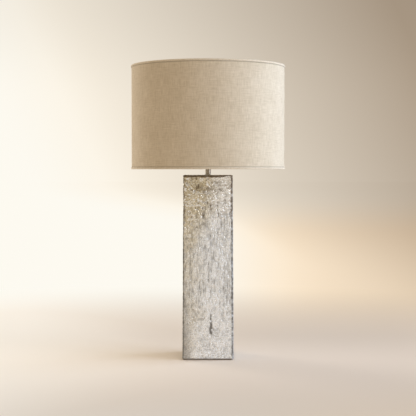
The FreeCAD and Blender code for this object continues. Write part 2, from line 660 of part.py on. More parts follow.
def make_bulb():
    """Pear-shaped bulb: a globe that flares from its neck, its screw base and its contact."""
    join = "(bulb_neck / 2 + bulb_flare) / bulb_reach"
    drop = "bulb_rise / bulb_reach"
    radius, inner = "bulb_outer / 2", "(bulb_outer / 2 - bulb_wall)"
    turned(piece("bulb_globe"), [
        ("bulb_neck / 2 - bulb_wall", "bulb_neck_base"),
        ("bulb_neck / 2", "bulb_neck_base", "bulb_flare", -1),
        (f"{radius} * {join}", f"bulb_centre - {radius} * {drop}", radius, 1),
        (radius, "bulb_centre", radius, 1), ("0", f"bulb_centre + {radius}"),
        ("0", f"bulb_centre + {inner}", inner, -1), (inner, "bulb_centre", inner, -1),
        (f"{inner} * {join}", f"bulb_centre - {inner} * {drop}", "bulb_flare + bulb_wall", 1)])
    wall, bore = "bulb_base_outer / 2", "bulb_base_outer / 2 - bulb_base_sheet"
    turned(piece("bulb_base"), [
        ("bulb_nib_outer / 2", "bulb_base_bottom"), (wall, "bulb_base_bottom"),
        (wall, "bulb_neck_base"), (bore, "bulb_neck_base"),
        (bore, "bulb_base_bottom + bulb_base_sheet"),
        ("bulb_nib_outer / 2", "bulb_base_bottom + bulb_base_sheet")])
    turned(piece("bulb_contact"), [
        ("0", "bulb_nib_base"), ("bulb_tip_outer / 2", "bulb_nib_base"),
        ("bulb_nib_outer / 2", "bulb_base_bottom"),
        ("bulb_nib_outer / 2", "bulb_base_bottom + bulb_base_sheet"),
        ("0", "bulb_base_bottom + bulb_base_sheet")])


def make_harp():
    """Bent wire bail with its feet and the collar and stud on its level top."""
    bail = piece("harp_bail")
    leg, crown, bow = "harp_spread / 2", "harp_crown / 2", "harp_bow / 2"
    middle, wire_end = "(harp_spread + harp_bow) / 4", "foot_top - foot_grip"
    wire = sketch_on(bail, "XZ_Plane")
    trace(wire, [
        (leg, wire_end), (leg, "leg_top", "leg_round", -1),
        (middle, "leg_top + leg_run / 2", "leg_round", 1),
        (bow, "bow_level", "side_round", 1), ("side_join_out", "side_join_up", "crown_bend", 1),
        (crown, "crown_height"), (f"-{crown}", "crown_height", "crown_bend", 1),
        ("-side_join_out", "side_join_up", "side_round", 1),
        (f"-{bow}", "bow_level", "leg_round", 1),
        (f"-{middle}", "leg_top + leg_run / 2", "leg_round", -1),
        (f"-{leg}", "leg_top"), (f"-{leg}", wire_end)], closed=False)
    section = sketch_on(bail, "XY_Plane", wire_end)
    circle(section, "harp_wire", leg)
    feature(bail, "AdditivePipe", section, Spine=(wire, []))
    stud = piece("harp_stud")
    collar, pin_radius = "collar_outer / 2", "stud_outer / 2"
    turned(stud, [
        ("0", "harp_seat - collar_height"), (collar, "harp_seat - collar_height"),
        (collar, "harp_seat"), (pin_radius, "harp_seat"), (pin_radius, "harp_seat + stud_height"),
        ("0", "harp_seat + stud_height")])
    eye = sketch_on(stud, "YZ_Plane")
    circle(eye, "harp_wire", "0", "crown_height")
    cut(stud, "Pocket", eye, Length="collar_outer * 2", Midplane=True)
    for side, sign in (("left", "-"), ("right", "")):
        foot = piece(f"harp_foot_{side}")
        barrel = sketch_on(foot, "XY_Plane", "foot_base")
        circle(barrel, "foot_outer")
        feature(foot, "Pad", barrel, Length="foot_height")
        slot = sketch_on(foot, "XY_Plane", "foot_base")
        rectangle(slot, "saddle_sheet + 2 * slot_fit", "tongue_width + 2 * slot_fit")
        cut(foot, "Pocket", slot, Length="tongue_height + slot_fit", Reversed=True)
        socket = sketch_on(foot, "XY_Plane", "foot_top")
        circle(socket, "harp_wire")
        cut(foot, "Pocket", socket, Length="foot_grip")
        place(foot, out=f"{sign}harp_spread / 2")
        sleeve = piece(f"harp_sleeve_{side}")
        tube(sleeve, "ferrule_bore + 2 * sleeve_wall", "ferrule_bore", "foot_base",
             "foot_base + sleeve_height")
        place(sleeve, out=f"{sign}harp_spread / 2")


def make_shade():
    """Linen drum on a stiff backing, with its rolled trim, wire rings, hub and arms."""
    tube(piece("shade_linen"), "shade_outer", "linen_bore", "hem + trim_thick", "rim - trim_thick")
    tube(piece("shade_backing"), "linen_bore", "backing_bore", "hem + trim_thick",
         "rim - trim_thick")
    cloth = "shade_outer / 2"
    for label, tip, web, end, way in (
            ("trim_top", "rim", "rim - trim_thick", "rim - trim_width", -1),
            ("trim_bottom", "hem", "hem + trim_thick", "hem + trim_width", 1)):
        turned(piece(label), [("ring_middle", tip), (cloth, tip, "trim_round", way), (cloth, end),
                              (cloth, web), ("ring_middle", web)])
    for label, height in (("top_ring", "top_ring_height"), ("bottom_ring", "bottom_ring_height")):
        ring = piece(label)
        section = sketch_on(ring, "XZ_Plane")
        circle(section, "frame_wire", "ring_middle", height)
        feature(ring, "Revolution", section, ReferenceAxis=(section, ["V_Axis"]))
    make_spider()


def make_spider():
    """Hub on the harp's stud, and arms brazed into it that climb to the top ring."""
    hub = piece("spider_hub")
    tube(hub, "hub_ring", "stud_outer + 2 * shaft_fit", "hub_base", "hub_top")
    hole = sketch_on(hub, "YZ_Plane", "arm_inner")
    circle(hole, "frame_wire", "0", "hub_middle")
    drilled = cut(hub, "Pocket", hole, Length="hub_ring", Reversed=True)
    ring = hub.newObject("PartDesign::PolarPattern", "spider_hub_holes")
    ring.Originals = [drilled]
    ring.Axis = (next(item for item in hub.Origin.OriginFeatures if item.Role == "Z_Axis"), [""])
    ring.Occurrences = ARMS
    hub.Tip = ring
    place(hub, turn=FreeCAD.Rotation(UP, ARM_START))
    for number in range(ARMS):
        arm = piece(f"spider_arm_{number + 1}")
        spine = sketch_on(arm, "XZ_Plane")
        trace(spine, [
            ("arm_inner", "hub_middle"), ("arm_low - arm_back", "hub_middle", "arm_bend", 1),
            ("arm_low + arm_back_out", "hub_middle + arm_back_up"),
            ("arm_high - arm_back_out", "top_ring_height - arm_back_up", "arm_bend", -1),
            ("arm_high + arm_back", "top_ring_height"), ("arm_outer", "top_ring_height")],
            closed=False)
        section = sketch_on(arm, "YZ_Plane", "arm_inner")
        circle(section, "frame_wire", "0", "hub_middle")
        feature(arm, "AdditivePipe", section, Spine=(spine, []))
        place(arm, turn=FreeCAD.Rotation(UP, ARM_START + 360 * number / ARMS))


def make_finial():
    """Turned knob with a blind bore that screws down on the stud."""
    ball, foot, waist = "finial_ball / 2", "finial_foot / 2", "finial_waist / 2"
    bore, shoulder = "stud_outer / 2 + shaft_fit", "finial_base + finial_foot_height"
    meet = f"finial_middle - sqrt(({ball})^2 - ({waist})^2)"
    turned(piece("finial"), [
        (bore, "finial_base"), (foot, "finial_base"), (foot, shoulder), (waist, shoulder),
        (waist, meet, ball, 1), (ball, "finial_middle", ball, 1),
        ("0", f"finial_middle + {ball}"), ("0", "finial_base + finial_depth"),
        (bore, "finial_base + finial_depth")])


def check():
    """Stops on any object that failed and any piece without a sound solid."""
    doc.recompute()
    failed = [item.Label for item in doc.Objects if {"Invalid", "Error"} & set(item.State)]
    if failed:
        raise ValueError("failed: " + ", ".join(failed))
    for body in pieces:
        shape = body.Shape
        if shape.isNull() or not shape.isValid() or len(shape.Solids) != 1:
            raise ValueError(f"{body.Label} is not one sound solid")


def write():
    os.makedirs(OUT, exist_ok=True)
    for body in pieces:
        body.Shape.exportStep(os.path.join(OUT, body.Label + ".step"))
    print(len(pieces), "pieces")


for alias, number, note in SIZES:
    enter(alias, str(number), note)
for alias, text in RESULTS:
    enter(alias, "=" + text)
doc.recompute()
make_glass_column()
make_base()
make_cord_gland()
make_centre_rod()
make_neck()
make_harp_saddle()
make_socket()
make_switch()
make_bulb()
make_harp()
make_shade()
make_finial()
check()
write()
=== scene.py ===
"""Looks of a table lamp: a square column of silvered glass, a nickel neck and harp, a linen drum.

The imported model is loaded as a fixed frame. Each operator makes one piece, or one group of like
pieces, in metres in that frame, or gives the frame's own pieces their finish.
"""

import math

import bmesh
import bpy
import numpy as np
from bpy.props import FloatProperty, FloatVectorProperty, IntProperty, PointerProperty
from bpy.types import Operator, Panel, PropertyGroup
from mathutils import Matrix, Vector, noise


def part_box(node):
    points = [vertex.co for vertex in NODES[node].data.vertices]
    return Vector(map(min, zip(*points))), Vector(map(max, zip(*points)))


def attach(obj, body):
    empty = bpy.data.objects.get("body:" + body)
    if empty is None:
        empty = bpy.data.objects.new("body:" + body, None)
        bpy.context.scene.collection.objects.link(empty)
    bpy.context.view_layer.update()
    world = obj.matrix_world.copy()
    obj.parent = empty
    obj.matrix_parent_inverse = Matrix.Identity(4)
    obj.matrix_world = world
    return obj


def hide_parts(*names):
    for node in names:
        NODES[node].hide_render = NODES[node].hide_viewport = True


bl_info = {
    "name": "Silvered Column Lamp",
    "version": (1, 0, 0),
    "blender": (4, 5, 0),
    "location": "View3D > Sidebar > Lamp",
    "description": "Pieces and finishes of a table lamp with a silvered glass column",
    "category": "Add Mesh",
}

SEED = 2    # noise_vector takes its offsets from the seed, and without one from the clock

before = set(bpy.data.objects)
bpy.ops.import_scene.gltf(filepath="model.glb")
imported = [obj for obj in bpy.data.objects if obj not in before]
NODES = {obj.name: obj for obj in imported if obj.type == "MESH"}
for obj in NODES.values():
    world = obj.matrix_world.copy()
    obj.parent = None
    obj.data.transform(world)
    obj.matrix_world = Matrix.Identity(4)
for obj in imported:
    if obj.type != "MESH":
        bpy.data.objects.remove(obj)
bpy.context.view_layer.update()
MM = 0.001
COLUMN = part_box("glass_column")
FOOT, HEAD = COLUMN[0].z, COLUMN[1].z
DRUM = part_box("shade_linen")
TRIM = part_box("trim_top")
RIM = TRIM[1].z
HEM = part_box("trim_bottom")[0].z
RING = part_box("top_ring")
RING_WIRE = 1.7 * MM
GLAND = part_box("cord_gland")
GLAND_HEIGHT = (GLAND[0].z + GLAND[1].z) / 2

# Near-white of the painted glints on the column's leaf.
PAINTED_GLINT = (1.0, 0.99, 0.96)
# Painted shade on the column's right face.
RIGHT_FACE_SHADE = (0.47, 0.44, 0.39)
# Painted shade low on the column's left side.
LOW_LEFT_SHADE = (0.40, 0.39, 0.365)
BLACK = (0.0, 0.0, 0.0)


# ---------------------------------------------------------------- sizes and colours

class ColumnSettings(PropertyGroup):
    """Silvered glass column."""

    head_half: FloatProperty(
        name="Head half width", description="Half of the column's width at its head",
        default=64 * MM, min=10 * MM, unit="LENGTH")
    wall: FloatProperty(
        name="Wall", description="Wall of the glass", default=6 * MM, min=1 * MM, unit="LENGTH")
    side_points: IntProperty(
        name="Points on a side", description="Mesh points on each flat side of a ring",
        default=95, min=8)
    wall_rows: IntProperty(
        name="Wall rows", description="Rings of points from the foot to the rounded head",
        default=346, min=8)
    relief: FloatProperty(
        name="Relief", description="Depth from the folds of the crinkled skin to its creases",
        default=2.6 * MM, min=0.0, unit="LENGTH")
    fold_width: FloatProperty(
        name="Fold width", description="Usual width of a fold in the crinkled skin",
        default=6.2 * MM, min=0.5 * MM, unit="LENGTH")
    streak: FloatProperty(
        name="Streak", description="How many times longer than wide the folds are in the middle",
        default=3.2, min=1.0)
    silver: FloatVectorProperty(
        name="Silver", description="Clean silver leaf", subtype="COLOR",
        default=(0.92, 0.95, 0.975), min=0.0, max=1.0)
    # Khaki of the leaf: its own in patches, and painted shade on the left and a painted reflection
    # at the head.
    warm: FloatVectorProperty(
        name="Warm leaf", description="Leaf that has turned to khaki", subtype="COLOR",
        default=(0.68, 0.595, 0.42), min=0.0, max=1.0)
    # Dark of the painted edge lines and painted crease shade, and of the tarnish in chips and
    # creases.
    tarnish: FloatVectorProperty(
        name="Tarnish", description="Dark line along edges and in creases", subtype="COLOR",
        default=(0.115, 0.105, 0.090), min=0.0, max=1.0)
    # Brown of those dark marks near the head, where they stand for the drum's reflected underside.
    brown_tarnish_and_reflection: FloatVectorProperty(
        name="Burnt tarnish", description="Brown tarnish near the head", subtype="COLOR",
        default=(0.135, 0.090, 0.045), min=0.0, max=1.0)


class ShadeSettings(PropertyGroup):
    """Linen drum, its trim, its liner and its wire frame."""

    thread: FloatProperty(
        name="Thread pitch", description="Distance from one thread to the next",
        default=1.1 * MM, min=0.2 * MM, unit="LENGTH")
    overlap: FloatProperty(
        name="Overlap", description="Width of the glued overlap at the back of the drum",
        default=12 * MM, min=1 * MM, unit="LENGTH")
    light: FloatVectorProperty(
        name="Light flax", description="Palest threads of the linen", subtype="COLOR",
        default=(0.76, 0.67, 0.53), min=0.0, max=1.0)
    dark: FloatVectorProperty(
        name="Dark flax", description="Darkest threads of the linen", subtype="COLOR",
        default=(0.53, 0.44, 0.31), min=0.0, max=1.0)
    liner: FloatVectorProperty(
        name="Liner", description="Stiff liner inside the drum", subtype="COLOR",
        default=(0.88, 0.86, 0.80), min=0.0, max=1.0)


class MetalSettings(PropertyGroup):
    """Metals of the fittings."""

    nickel: FloatVectorProperty(
        name="Nickel", description="Polished nickel plate", subtype="COLOR",
        default=(0.58, 0.52, 0.44), min=0.0, max=1.0)
    brass: FloatVectorProperty(
        name="Brass", description="Brass of the contacts", subtype="COLOR",
        default=(0.76, 0.58, 0.28), min=0.0, max=1.0)
    zinc: FloatVectorProperty(
        name="Zinc", description="Zinc plated steel", subtype="COLOR",
        default=(0.55, 0.55, 0.54), min=0.0, max=1.0)
    thread_pitch: FloatProperty(
        name="Bulb thread", description="Pitch of the thread on the bulb's base",
        default=3.63 * MM, min=0.5 * MM, unit="LENGTH")


class StageSettings(PropertyGroup):
    """Camera, lamps and floor."""

    eye_height: FloatProperty(
        name="Eye height", description="Height of the camera", default=0.493, unit="LENGTH")
    eye_distance: FloatProperty(
        name="Eye distance", description="Distance from the camera to the column's axis",
        default=2.85, unit="LENGTH")
    tilt: FloatProperty(
        name="Tilt", description="How far the camera looks down",
        default=math.radians(2.049), subtype="ANGLE")
    lens: FloatProperty(
        name="Lens", description="Focal length in millimetres", default=93.8)
    key_power: FloatProperty(
        name="Key power", description="Power of the large panel on the right, in watts",
        default=80.0, min=0.0)
    rim_power: FloatProperty(
        name="Rim power", description="Power of the panel behind on the left, in watts",
        default=20.0, min=0.0)
    glint_power: FloatProperty(
        name="Glint power", description="Power of each small lamp in front, in watts",
        default=5.5, min=0.0)
    room: FloatVectorProperty(
        name="Room light", description="Light that comes from all sides", subtype="COLOR",
        default=(0.61, 0.515, 0.40), min=0.0, max=1.0)
    floor_bright: FloatVectorProperty(
        name="Bright floor", description="Floor on the left", subtype="COLOR",
        default=(1.0, 0.90, 0.78), min=0.0, max=1.0)
    floor_dim: FloatVectorProperty(
        name="Dim floor", description="Floor on the right", subtype="COLOR",
        default=(0.66, 0.565, 0.47), min=0.0, max=1.0)
    wall_white: FloatVectorProperty(
        name="White wall", description="Backdrop on the far left", subtype="COLOR",
        default=(0.985, 0.955, 0.875), min=0.0, max=1.0)
    wall_bright: FloatVectorProperty(
        name="Bright wall", description="Backdrop on the left", subtype="COLOR",
        default=(0.975, 0.90, 0.775), min=0.0, max=1.0)
    wall_dim: FloatVectorProperty(
        name="Dim wall", description="Backdrop on the right", subtype="COLOR",
        default=(0.41, 0.325, 0.24), min=0.0, max=1.0)
    glow: FloatVectorProperty(
        name="Glow", description="Tint of the light at the wall's foot on the right",
        subtype="COLOR", default=(1.0, 0.90, 0.79), min=0.0, max=1.0)


# ---------------------------------------------------------------- shader expressions

class Wire:
    """An output socket that can stand in a sum, so that shader maths reads as an expression."""

    def __init__(self, tree, socket):
        self.tree = tree
        self.socket = socket

    def maths(self, operation, *terms):
        """A Math node on the given terms."""
        node = self.tree.nodes.new("ShaderNodeMath")
        node.operation = operation
        for entry, term in zip(node.inputs, terms):
            if isinstance(term, Wire):
                self.tree.links.new(term.socket, entry)
            else:
                entry.default_value = term
        return Wire(self.tree, node.outputs[0])

    def __add__(self, other):
        return self.maths("ADD", self, other)

    def __sub__(self, other):
        return self.maths("SUBTRACT", self, other)

    def __rsub__(self, other):
        return self.maths("SUBTRACT", other, self)

    def __mul__(self, other):
        return self.maths("MULTIPLY", self, other)

    def __truediv__(self, other):
        return self.maths("DIVIDE", self, other)

    def __rtruediv__(self, other):
        return self.maths("DIVIDE", other, self)

    def __pow__(self, other):
        return self.maths("POWER", self, other)

    def __abs__(self):
        return self.maths("ABSOLUTE", self)

    __radd__ = __add__
    __rmul__ = __mul__

    def sine(self):
        """Sine of the value, in radians."""
        return self.maths("SINE", self)

    def larger(self, other):
        """The larger of the two values."""
        return self.maths("MAXIMUM", self, other)

    def smaller(self, other):
        """The smaller of the two values."""
        return self.maths("MINIMUM", self, other)


class Paint:
    """Nodes of one material or of the room."""

    def __init__(self, tree):
        self.tree = tree
        self.tree.nodes.clear()

    def add(self, kind, settings=None, values=None, output=0):
        """A node of that kind. Its settings are set first, then its sockets' values or links."""
        node = self.tree.nodes.new(f"ShaderNode{kind}")
        for name, setting in (settings or {}).items():
            setattr(node, name, setting)
        for name, value in (values or {}).items():
            self.feed(node.inputs[name], value)
        return Wire(self.tree, node.outputs[output])

    def feed(self, entry, value):
        """Sets a socket, or links a wire to it."""
        if isinstance(value, Wire):
            self.tree.links.new(value.socket, entry)
        elif entry.type == "RGBA":
            entry.default_value = (*value, 1.0)
        else:
            entry.default_value = value

    def point(self):
        """Place on the object, in metres in the frame."""
        return self.add("TexCoord", output="Object")

    def split(self, vector):
        """The three parts of a vector."""
        parts = self.add("SeparateXYZ", values={0: vector})
        return [Wire(self.tree, socket) for socket in parts.socket.node.outputs]

    def join(self, x, y, z):
        """A vector from three values."""
        return self.add("CombineXYZ", values={"X": x, "Y": y, "Z": z})

    def scaled(self, vector, factors):
        """A vector times a factor on each axis."""
        return self.add("VectorMath", {"operation": "MULTIPLY"}, {0: vector, 1: factors})

    def cloud(self, vector, scale, detail=2.0, roughness=0.5, distortion=0.0):
        """Soft noise, from about 0.25 to 0.75."""
        return self.add("TexNoise", values={
            "Vector": vector, "Scale": scale, "Detail": detail, "Roughness": roughness,
            "Distortion": distortion})

    def cells(self, vector, scale, output="Distance"):
        """Distance to the middle of scattered cells, or a colour for each cell."""
        return self.add("TexVoronoi", values={"Vector": vector, "Scale": scale}, output=output)

    def rise(self, value, low, high):
        """0 below low, 1 above high, and a smooth step between them."""
        return self.add("MapRange", {"interpolation_type": "SMOOTHSTEP"}, {
            "Value": value, "From Min": low, "From Max": high})

    def mix(self, first, second, share, how="MIX"):
        """A blend of two colours."""
        return self.add("Mix", {"data_type": "RGBA", "blend_type": how},
                        {0: share, 6: first, 7: second}, 2)


class Finish(Paint):
    """A material with one principled surface."""

    def __init__(self, name):
        self.material = bpy.data.materials.new(name)
        self.material.use_nodes = True
        super().__init__(self.material.node_tree)
        self.surface = self.tree.nodes.new("ShaderNodeBsdfPrincipled")
        last = self.tree.nodes.new("ShaderNodeOutputMaterial")
        self.tree.links.new(self.surface.outputs[0], last.inputs["Surface"])

    def set(self, **values):
        """Values or links of the surface's sockets, with _ for a space in their names."""
        for name, value in values.items():
            self.feed(self.surface.inputs[name.replace("_", " ")], value)

    def emboss(self, height, depth, strength=1.0):
        """Fine relief from a height of 0 to 1 and its depth in metres."""
        bump = self.add("Bump", values={
            "Strength": strength, "Distance": depth, "Height": height})
        self.tree.links.new(bump.socket, self.surface.inputs["Normal"])


# ---------------------------------------------------------------- finishes

class GlassSkin(Finish):
    """Crinkled silver leaf on glass, khaki in patches, with painted light: a gold reflection at its
    head, shade on its left, glints on its facets and folds, and dark lines at its edges.
    """

    def __init__(self, settings):
        super().__init__("silvered_glass")
        self.settings = settings
        self.spot = self.point()
        self.x, self.y, self.z = self.split(self.spot)
        self.fold = self.add("Attribute", {"attribute_name": "fold"}, output="Fac")
        self.tall = (self.z - FOOT) / (HEAD - FOOT)
        self.upper = self.rise(self.tall, 0.60, 0.96)
        self.right = self.rise(self.x, -0.010, 0.060)
        self.speck = self.cloud(self.spot, 150.0, 3.0, 0.62, 0.4)
        drawn_out = self.join(self.x, self.y, self.z * (0.55 + self.upper * 0.35))
        self.chip = self.split(self.cells(drawn_out, 170.0, output="Color"))[0]
        self.finish()

    def leaf(self):
        """Colour of the leaf, khaki in patches, with painted light: khaki shade on the left, a gold
        reflection at the head, pale glints on its facets and folds, shade on its right face and
        low on its left.
        """
        # Painted shade: more khaki on the left, the side away from the key light; khaki in patches
        # is the leaf's own.
        left = self.rise(0 - self.x, -0.034, 0.066)
        patch = self.cloud(self.spot, 17.0, 3.0, 0.6)
        # Painted reflection: gold at the head, less on its right, stands for the drum's warm
        # underside.
        khaki_and_painted_light = left * (0.42 + self.tall * 0.40) + self.upper * (0.58 - self.right * 0.36)
        khaki_and_painted_light = self.rise(khaki_and_painted_light + (patch - 0.5) * 0.8, 0.06, 0.95)
        tone = self.mix(self.settings.silver, self.settings.warm, khaki_and_painted_light)
        # Painted glints: near-white on the crisp facets and fold tops, most at the head and its
        # right.
        facets = self.rise(self.chip, 0.58, 0.96) * (0.40 + self.upper * 0.60)
        folds = self.rise(self.fold, 0.66, 0.92) * (0.25 + self.upper * 0.60)
        glint_share = facets.larger(folds) + self.right * self.upper * 0.8
        tone = self.mix(tone, PAINTED_GLINT, glint_share.smaller(1.0))
        # Painted shade: the right face is dulled so that the key light from the right doesn't wash
        # it out.
        dimmed_right_face = self.rise(self.x - abs(self.y), 0.001, 0.010)
        tone = self.mix(tone, RIGHT_FACE_SHADE, dimmed_right_face * 0.66)
        # Painted shade: the left side darkens towards the foot, away from the key light.
        shaded_low_left = self.rise(0 - self.x, 0.034, 0.064) * (1 - self.rise(self.tall, 0.02, 0.62))
        return self.mix(tone, LOW_LEFT_SHADE, shaded_low_left * 0.85)

    def creases(self):
        """Dark in the creases, part tarnish and part painted shade, deepest at the head and faint on
        the right; tarnish in a few chips and, half way up, in long streaks.
        """
        middle = self.rise(self.tall, 0.20, 0.34) * (1 - self.rise(self.tall, 0.80, 0.92))
        streak = self.join(self.x * 250.0, self.y * 250.0, self.z * 36.0)
        streak = self.rise(self.cloud(streak, 1.0, 3.0, 0.6), 0.48, 0.36)
        # Painted shade in the creases: deeper at the head and lighter on the right, where the key
        # light falls.
        depth = 0.34 + self.upper * (0.24 - self.right * 0.20)
        tarnish = self.rise(self.fold, 0.50, 0.12) * depth
        tarnish = tarnish + self.rise(self.chip, 0.28, 0.0) * (0.22 + self.upper * 0.10)
        return tarnish + streak * middle * 0.40

    def edges(self):
        """Dark, ragged lines of painted shade: along the upright corners a painted dark reflection
        of the rounded glass, round the head a painted reflection of the drum's dark underside, and
        at the foot a painted shadow.
        """
        x, y, z = self.x, self.y, self.z
        far, near = abs(x).larger(abs(y)), abs(x).smaller(abs(y))
        ragged = self.cloud(self.spot, 120.0, 3.0, 0.65) - 0.5
        gapped = self.cloud(self.scaled(self.spot, (60.0, 60.0, 170.0)), 1.0, 2.0)
        gapped = self.rise(gapped, 0.36, 0.56) * 0.38 + 0.62
        # Corners: painted dark reflection of the rounded glass edges, wider on the right.
        width = self.right * (3.0 * MM) - self.tall * (0.6 * MM) + 4.2 * MM
        corner = far - near + ragged * (7.5 * MM)
        corner = (1 - self.rise(corner, width * 0.5, width)) * gapped
        # Head: painted reflection of the drum's dark underside, narrower on the right.
        width = 7.4 * MM - self.rise(x, 30 * MM, 52 * MM) * (3.6 * MM)
        lip = (HEAD - z).larger(self.settings.head_half - far) + ragged * (5.0 * MM)
        lip = 1 - self.rise(lip, width * 0.55, width)
        # Foot: painted shadow along the glass's lowest edge.
        foot = 1 - self.rise(z - FOOT + ragged * (3 * MM), 0.2 * MM, 1.6 * MM)
        return (corner * 0.92).larger(lip * 0.96).larger(foot * 0.45)

    def dark_front_mark(self):
        """A dark mark low on the front, right of the middle."""
        aside = abs(self.x - 7.4 * MM + (self.speck - 0.5) * (8 * MM))
        width = 6.2 * MM - self.rise(self.z, 84 * MM, 100 * MM) * (2.8 * MM)
        mark = (1 - self.rise(aside, width * 0.3, width)) * self.rise(self.z, 58 * MM, 70 * MM)
        mark = mark * (1 - self.rise(self.z, 112 * MM, 130 * MM))
        front = self.rise(0 - self.y, 50 * MM, 60 * MM)
        return mark * front * self.rise(self.cloud(self.spot, 140.0, 2.0), 0.36, 0.50)

    def finish(self):
        """Links the leaf, its dark marks of tarnish, painted shade and painted reflection, and its
        fine relief to the surface.
        """
        edges = self.edges()
        # Dark marks: painted edge lines, the dark front mark, and the creases' tarnish and painted
        # shade.
        dark = edges.larger(self.dark_front_mark() * 0.92).larger(self.creases())
        # They turn brown towards the head as a painted reflection of the drum's underside.
        tarnish = self.mix(self.settings.tarnish, self.settings.brown_tarnish_and_reflection, self.upper)
        rough = 0.20 + self.rise(self.speck, 0.3, 0.7) * 0.12 + dark * 0.10 + edges * 0.45
        self.set(Base_Color=self.mix(self.leaf(), tarnish, dark), Roughness=rough,
                 Metallic=(0.42 + self.upper * 0.16) * (1 - edges),
                 Coat_Weight=0.6 * (1 - edges), Coat_Roughness=0.06, Coat_IOR=1.5, IOR=1.5,
                 Specular_IOR_Level=0.36)
        facets = self.cells(self.scaled(self.spot, (1.0, 1.0, 0.62)), 240.0)
        ripple = self.cloud(self.spot, 480.0, 3.0, 0.6)
        self.emboss(facets * 0.6 + ripple * 0.5, 1.2 * MM, 0.8)


def woven_height(look, run, up, pitch):
    """Relief of a plain weave, 0 in its gaps and 1 on its threads."""
    across = (run * (math.pi / pitch)).sine()
    along = (up * (math.pi / pitch)).sine()
    crossing = across * along
    return (abs(across) * (0.58 + crossing * 0.42)).larger(abs(along) * (0.58 - crossing * 0.42))


def flax(name, settings, lightness, slant):
    """Slubby linen with a painted shadow line under each trim. The run round the drum and the height
    carry its threads.
    """
    look = Finish(name)
    spot = look.point()
    x, y, z = look.split(spot)
    run = look.add("Math", {"operation": "ARCTAN2"}, {0: x, 1: 0 - y}) * DRUM[1].x
    wobble = look.cloud(spot, 120.0, 2.0) * (settings.thread * 1.6)
    first, second = run + z * slant + wobble, z - run * slant + wobble
    weave = woven_height(look, first, second, settings.thread)
    upright = look.cloud(look.join(first * 420.0, second * 46.0, 0.0), 1.0, 3.0, 0.55)
    level = look.cloud(look.join(first * 42.0, second * 440.0, 4.0), 1.0, 3.0, 0.55)
    thick = look.cloud(look.join(first * 26.0, second * 230.0, 9.0), 1.0, 2.0, 0.5)
    stray = look.cloud(look.join(first * 230.0, second * 20.0, 14.0), 1.0, 2.0, 0.5)
    slub = look.rise(thick, 0.54, 0.72) + look.rise(stray, 0.54, 0.72)
    slub = slub + look.rise(look.cloud(spot, 260.0, 2.0), 0.55, 0.72) * 0.8
    patch = look.cloud(spot, 26.0, 2.0)
    tone = lightness + (upright - 0.5) * 1.05 + (level - 0.5) * 0.85 + (patch - 0.5) * 0.35
    tone = tone + (weave - 0.62) * 0.30 - slub * 0.12
    colour = look.mix(settings.dark, settings.light, look.rise(tone, -0.15, 1.15))
    # Painted shadow: a dark line on the cloth just under each rolled trim.
    inset = (RIM - HEM) / 2 - abs(z - (RIM + HEM) / 2)
    trim_shadow_line = 1 - look.rise(abs(inset - 5.7 * MM), 0.4 * MM, 2.0 * MM)
    colour = look.mix(colour, (0.16, 0.13, 0.09), trim_shadow_line * 0.42)
    look.set(Base_Color=colour, Roughness=0.90, Sheen_Weight=0.34, Sheen_Roughness=0.42,
             Sheen_Tint=(0.98, 0.95, 0.89), Specular_IOR_Level=0.22)
    look.emboss(weave * 0.55 + upright * 0.24 + level * 0.20 + slub * 0.18, 0.36 * MM, 0.75)
    return look.material


def stiff_liner(settings):
    """Off-white styrene liner with a faint roller grain."""
    look = Finish("styrene_liner")
    spot = look.point()
    grain = look.cloud(look.scaled(spot, (420.0, 420.0, 60.0)), 1.0, 2.0)
    patch = look.cloud(spot, 18.0, 2.0)
    tone = look.mix(settings.liner, (0.80, 0.77, 0.70), look.rise(patch, 0.40, 0.75) * 0.2)
    look.set(Base_Color=tone, Roughness=0.42 + grain * 0.12)
    look.emboss(grain, 0.05 * MM, 0.6)
    return look.material


def plated(name, colour, dull, polish, brushed, dark=(0.20, 0.17, 0.13)):
    """Plated or bare metal: fine polishing lines, faint smears and a little tarnish."""
    look = Finish(name)
    spot = look.point()
    smear = look.cloud(spot, 70.0, 3.0, 0.55)
    lines = look.cloud(look.scaled(spot, brushed), 1.0, 2.0, 0.6)
    pits = look.rise(look.cloud(spot, 900.0, 2.0), 0.60, 0.74)
    tone = look.mix(colour, dark, look.rise(smear, 0.50, 0.80) * dull + pits * 0.10)
    look.set(Base_Color=tone, Metallic=1.0,
             Roughness=polish + look.rise(smear, 0.35, 0.75) * 0.10 + lines * 0.06)
    look.emboss(lines * 0.8 + pits * 0.3, 0.03 * MM, 0.5)
    return look.material


def moulded(name, colour, pale, roughness, grain, depth, **more):
    """Moulded rubber or plastic with a fine skin."""
    look = Finish(name)
    spot = look.point()
    skin = look.cloud(spot, grain, 3.0, 0.6)
    wear = look.cloud(spot, 60.0, 3.0)
    look.set(Base_Color=look.mix(colour, pale, look.rise(wear, 0.48, 0.76) * 0.5 + skin * 0.12),
             Roughness=roughness + skin * 0.12, **more)
    look.emboss(skin, depth, 0.7)
    return look.material


def opal_glass():
    """Frosted glass of the bulb, milky with a faint cloud."""
    look = Finish("opal_glass")
    spot = look.point()
    milk = look.cloud(spot, 45.0, 2.0)
    tone = look.mix((0.97, 0.955, 0.93), (0.92, 0.90, 0.86), look.rise(milk, 0.4, 0.8))
    look.set(Base_Color=tone,
             Roughness=0.20 + milk * 0.08, Subsurface_Weight=0.35, Subsurface_Scale=0.004,
             Coat_Weight=0.4, Coat_Roughness=0.12)
    look.emboss(look.cloud(spot, 500.0, 2.0), 0.02 * MM, 0.4)
    return look.material


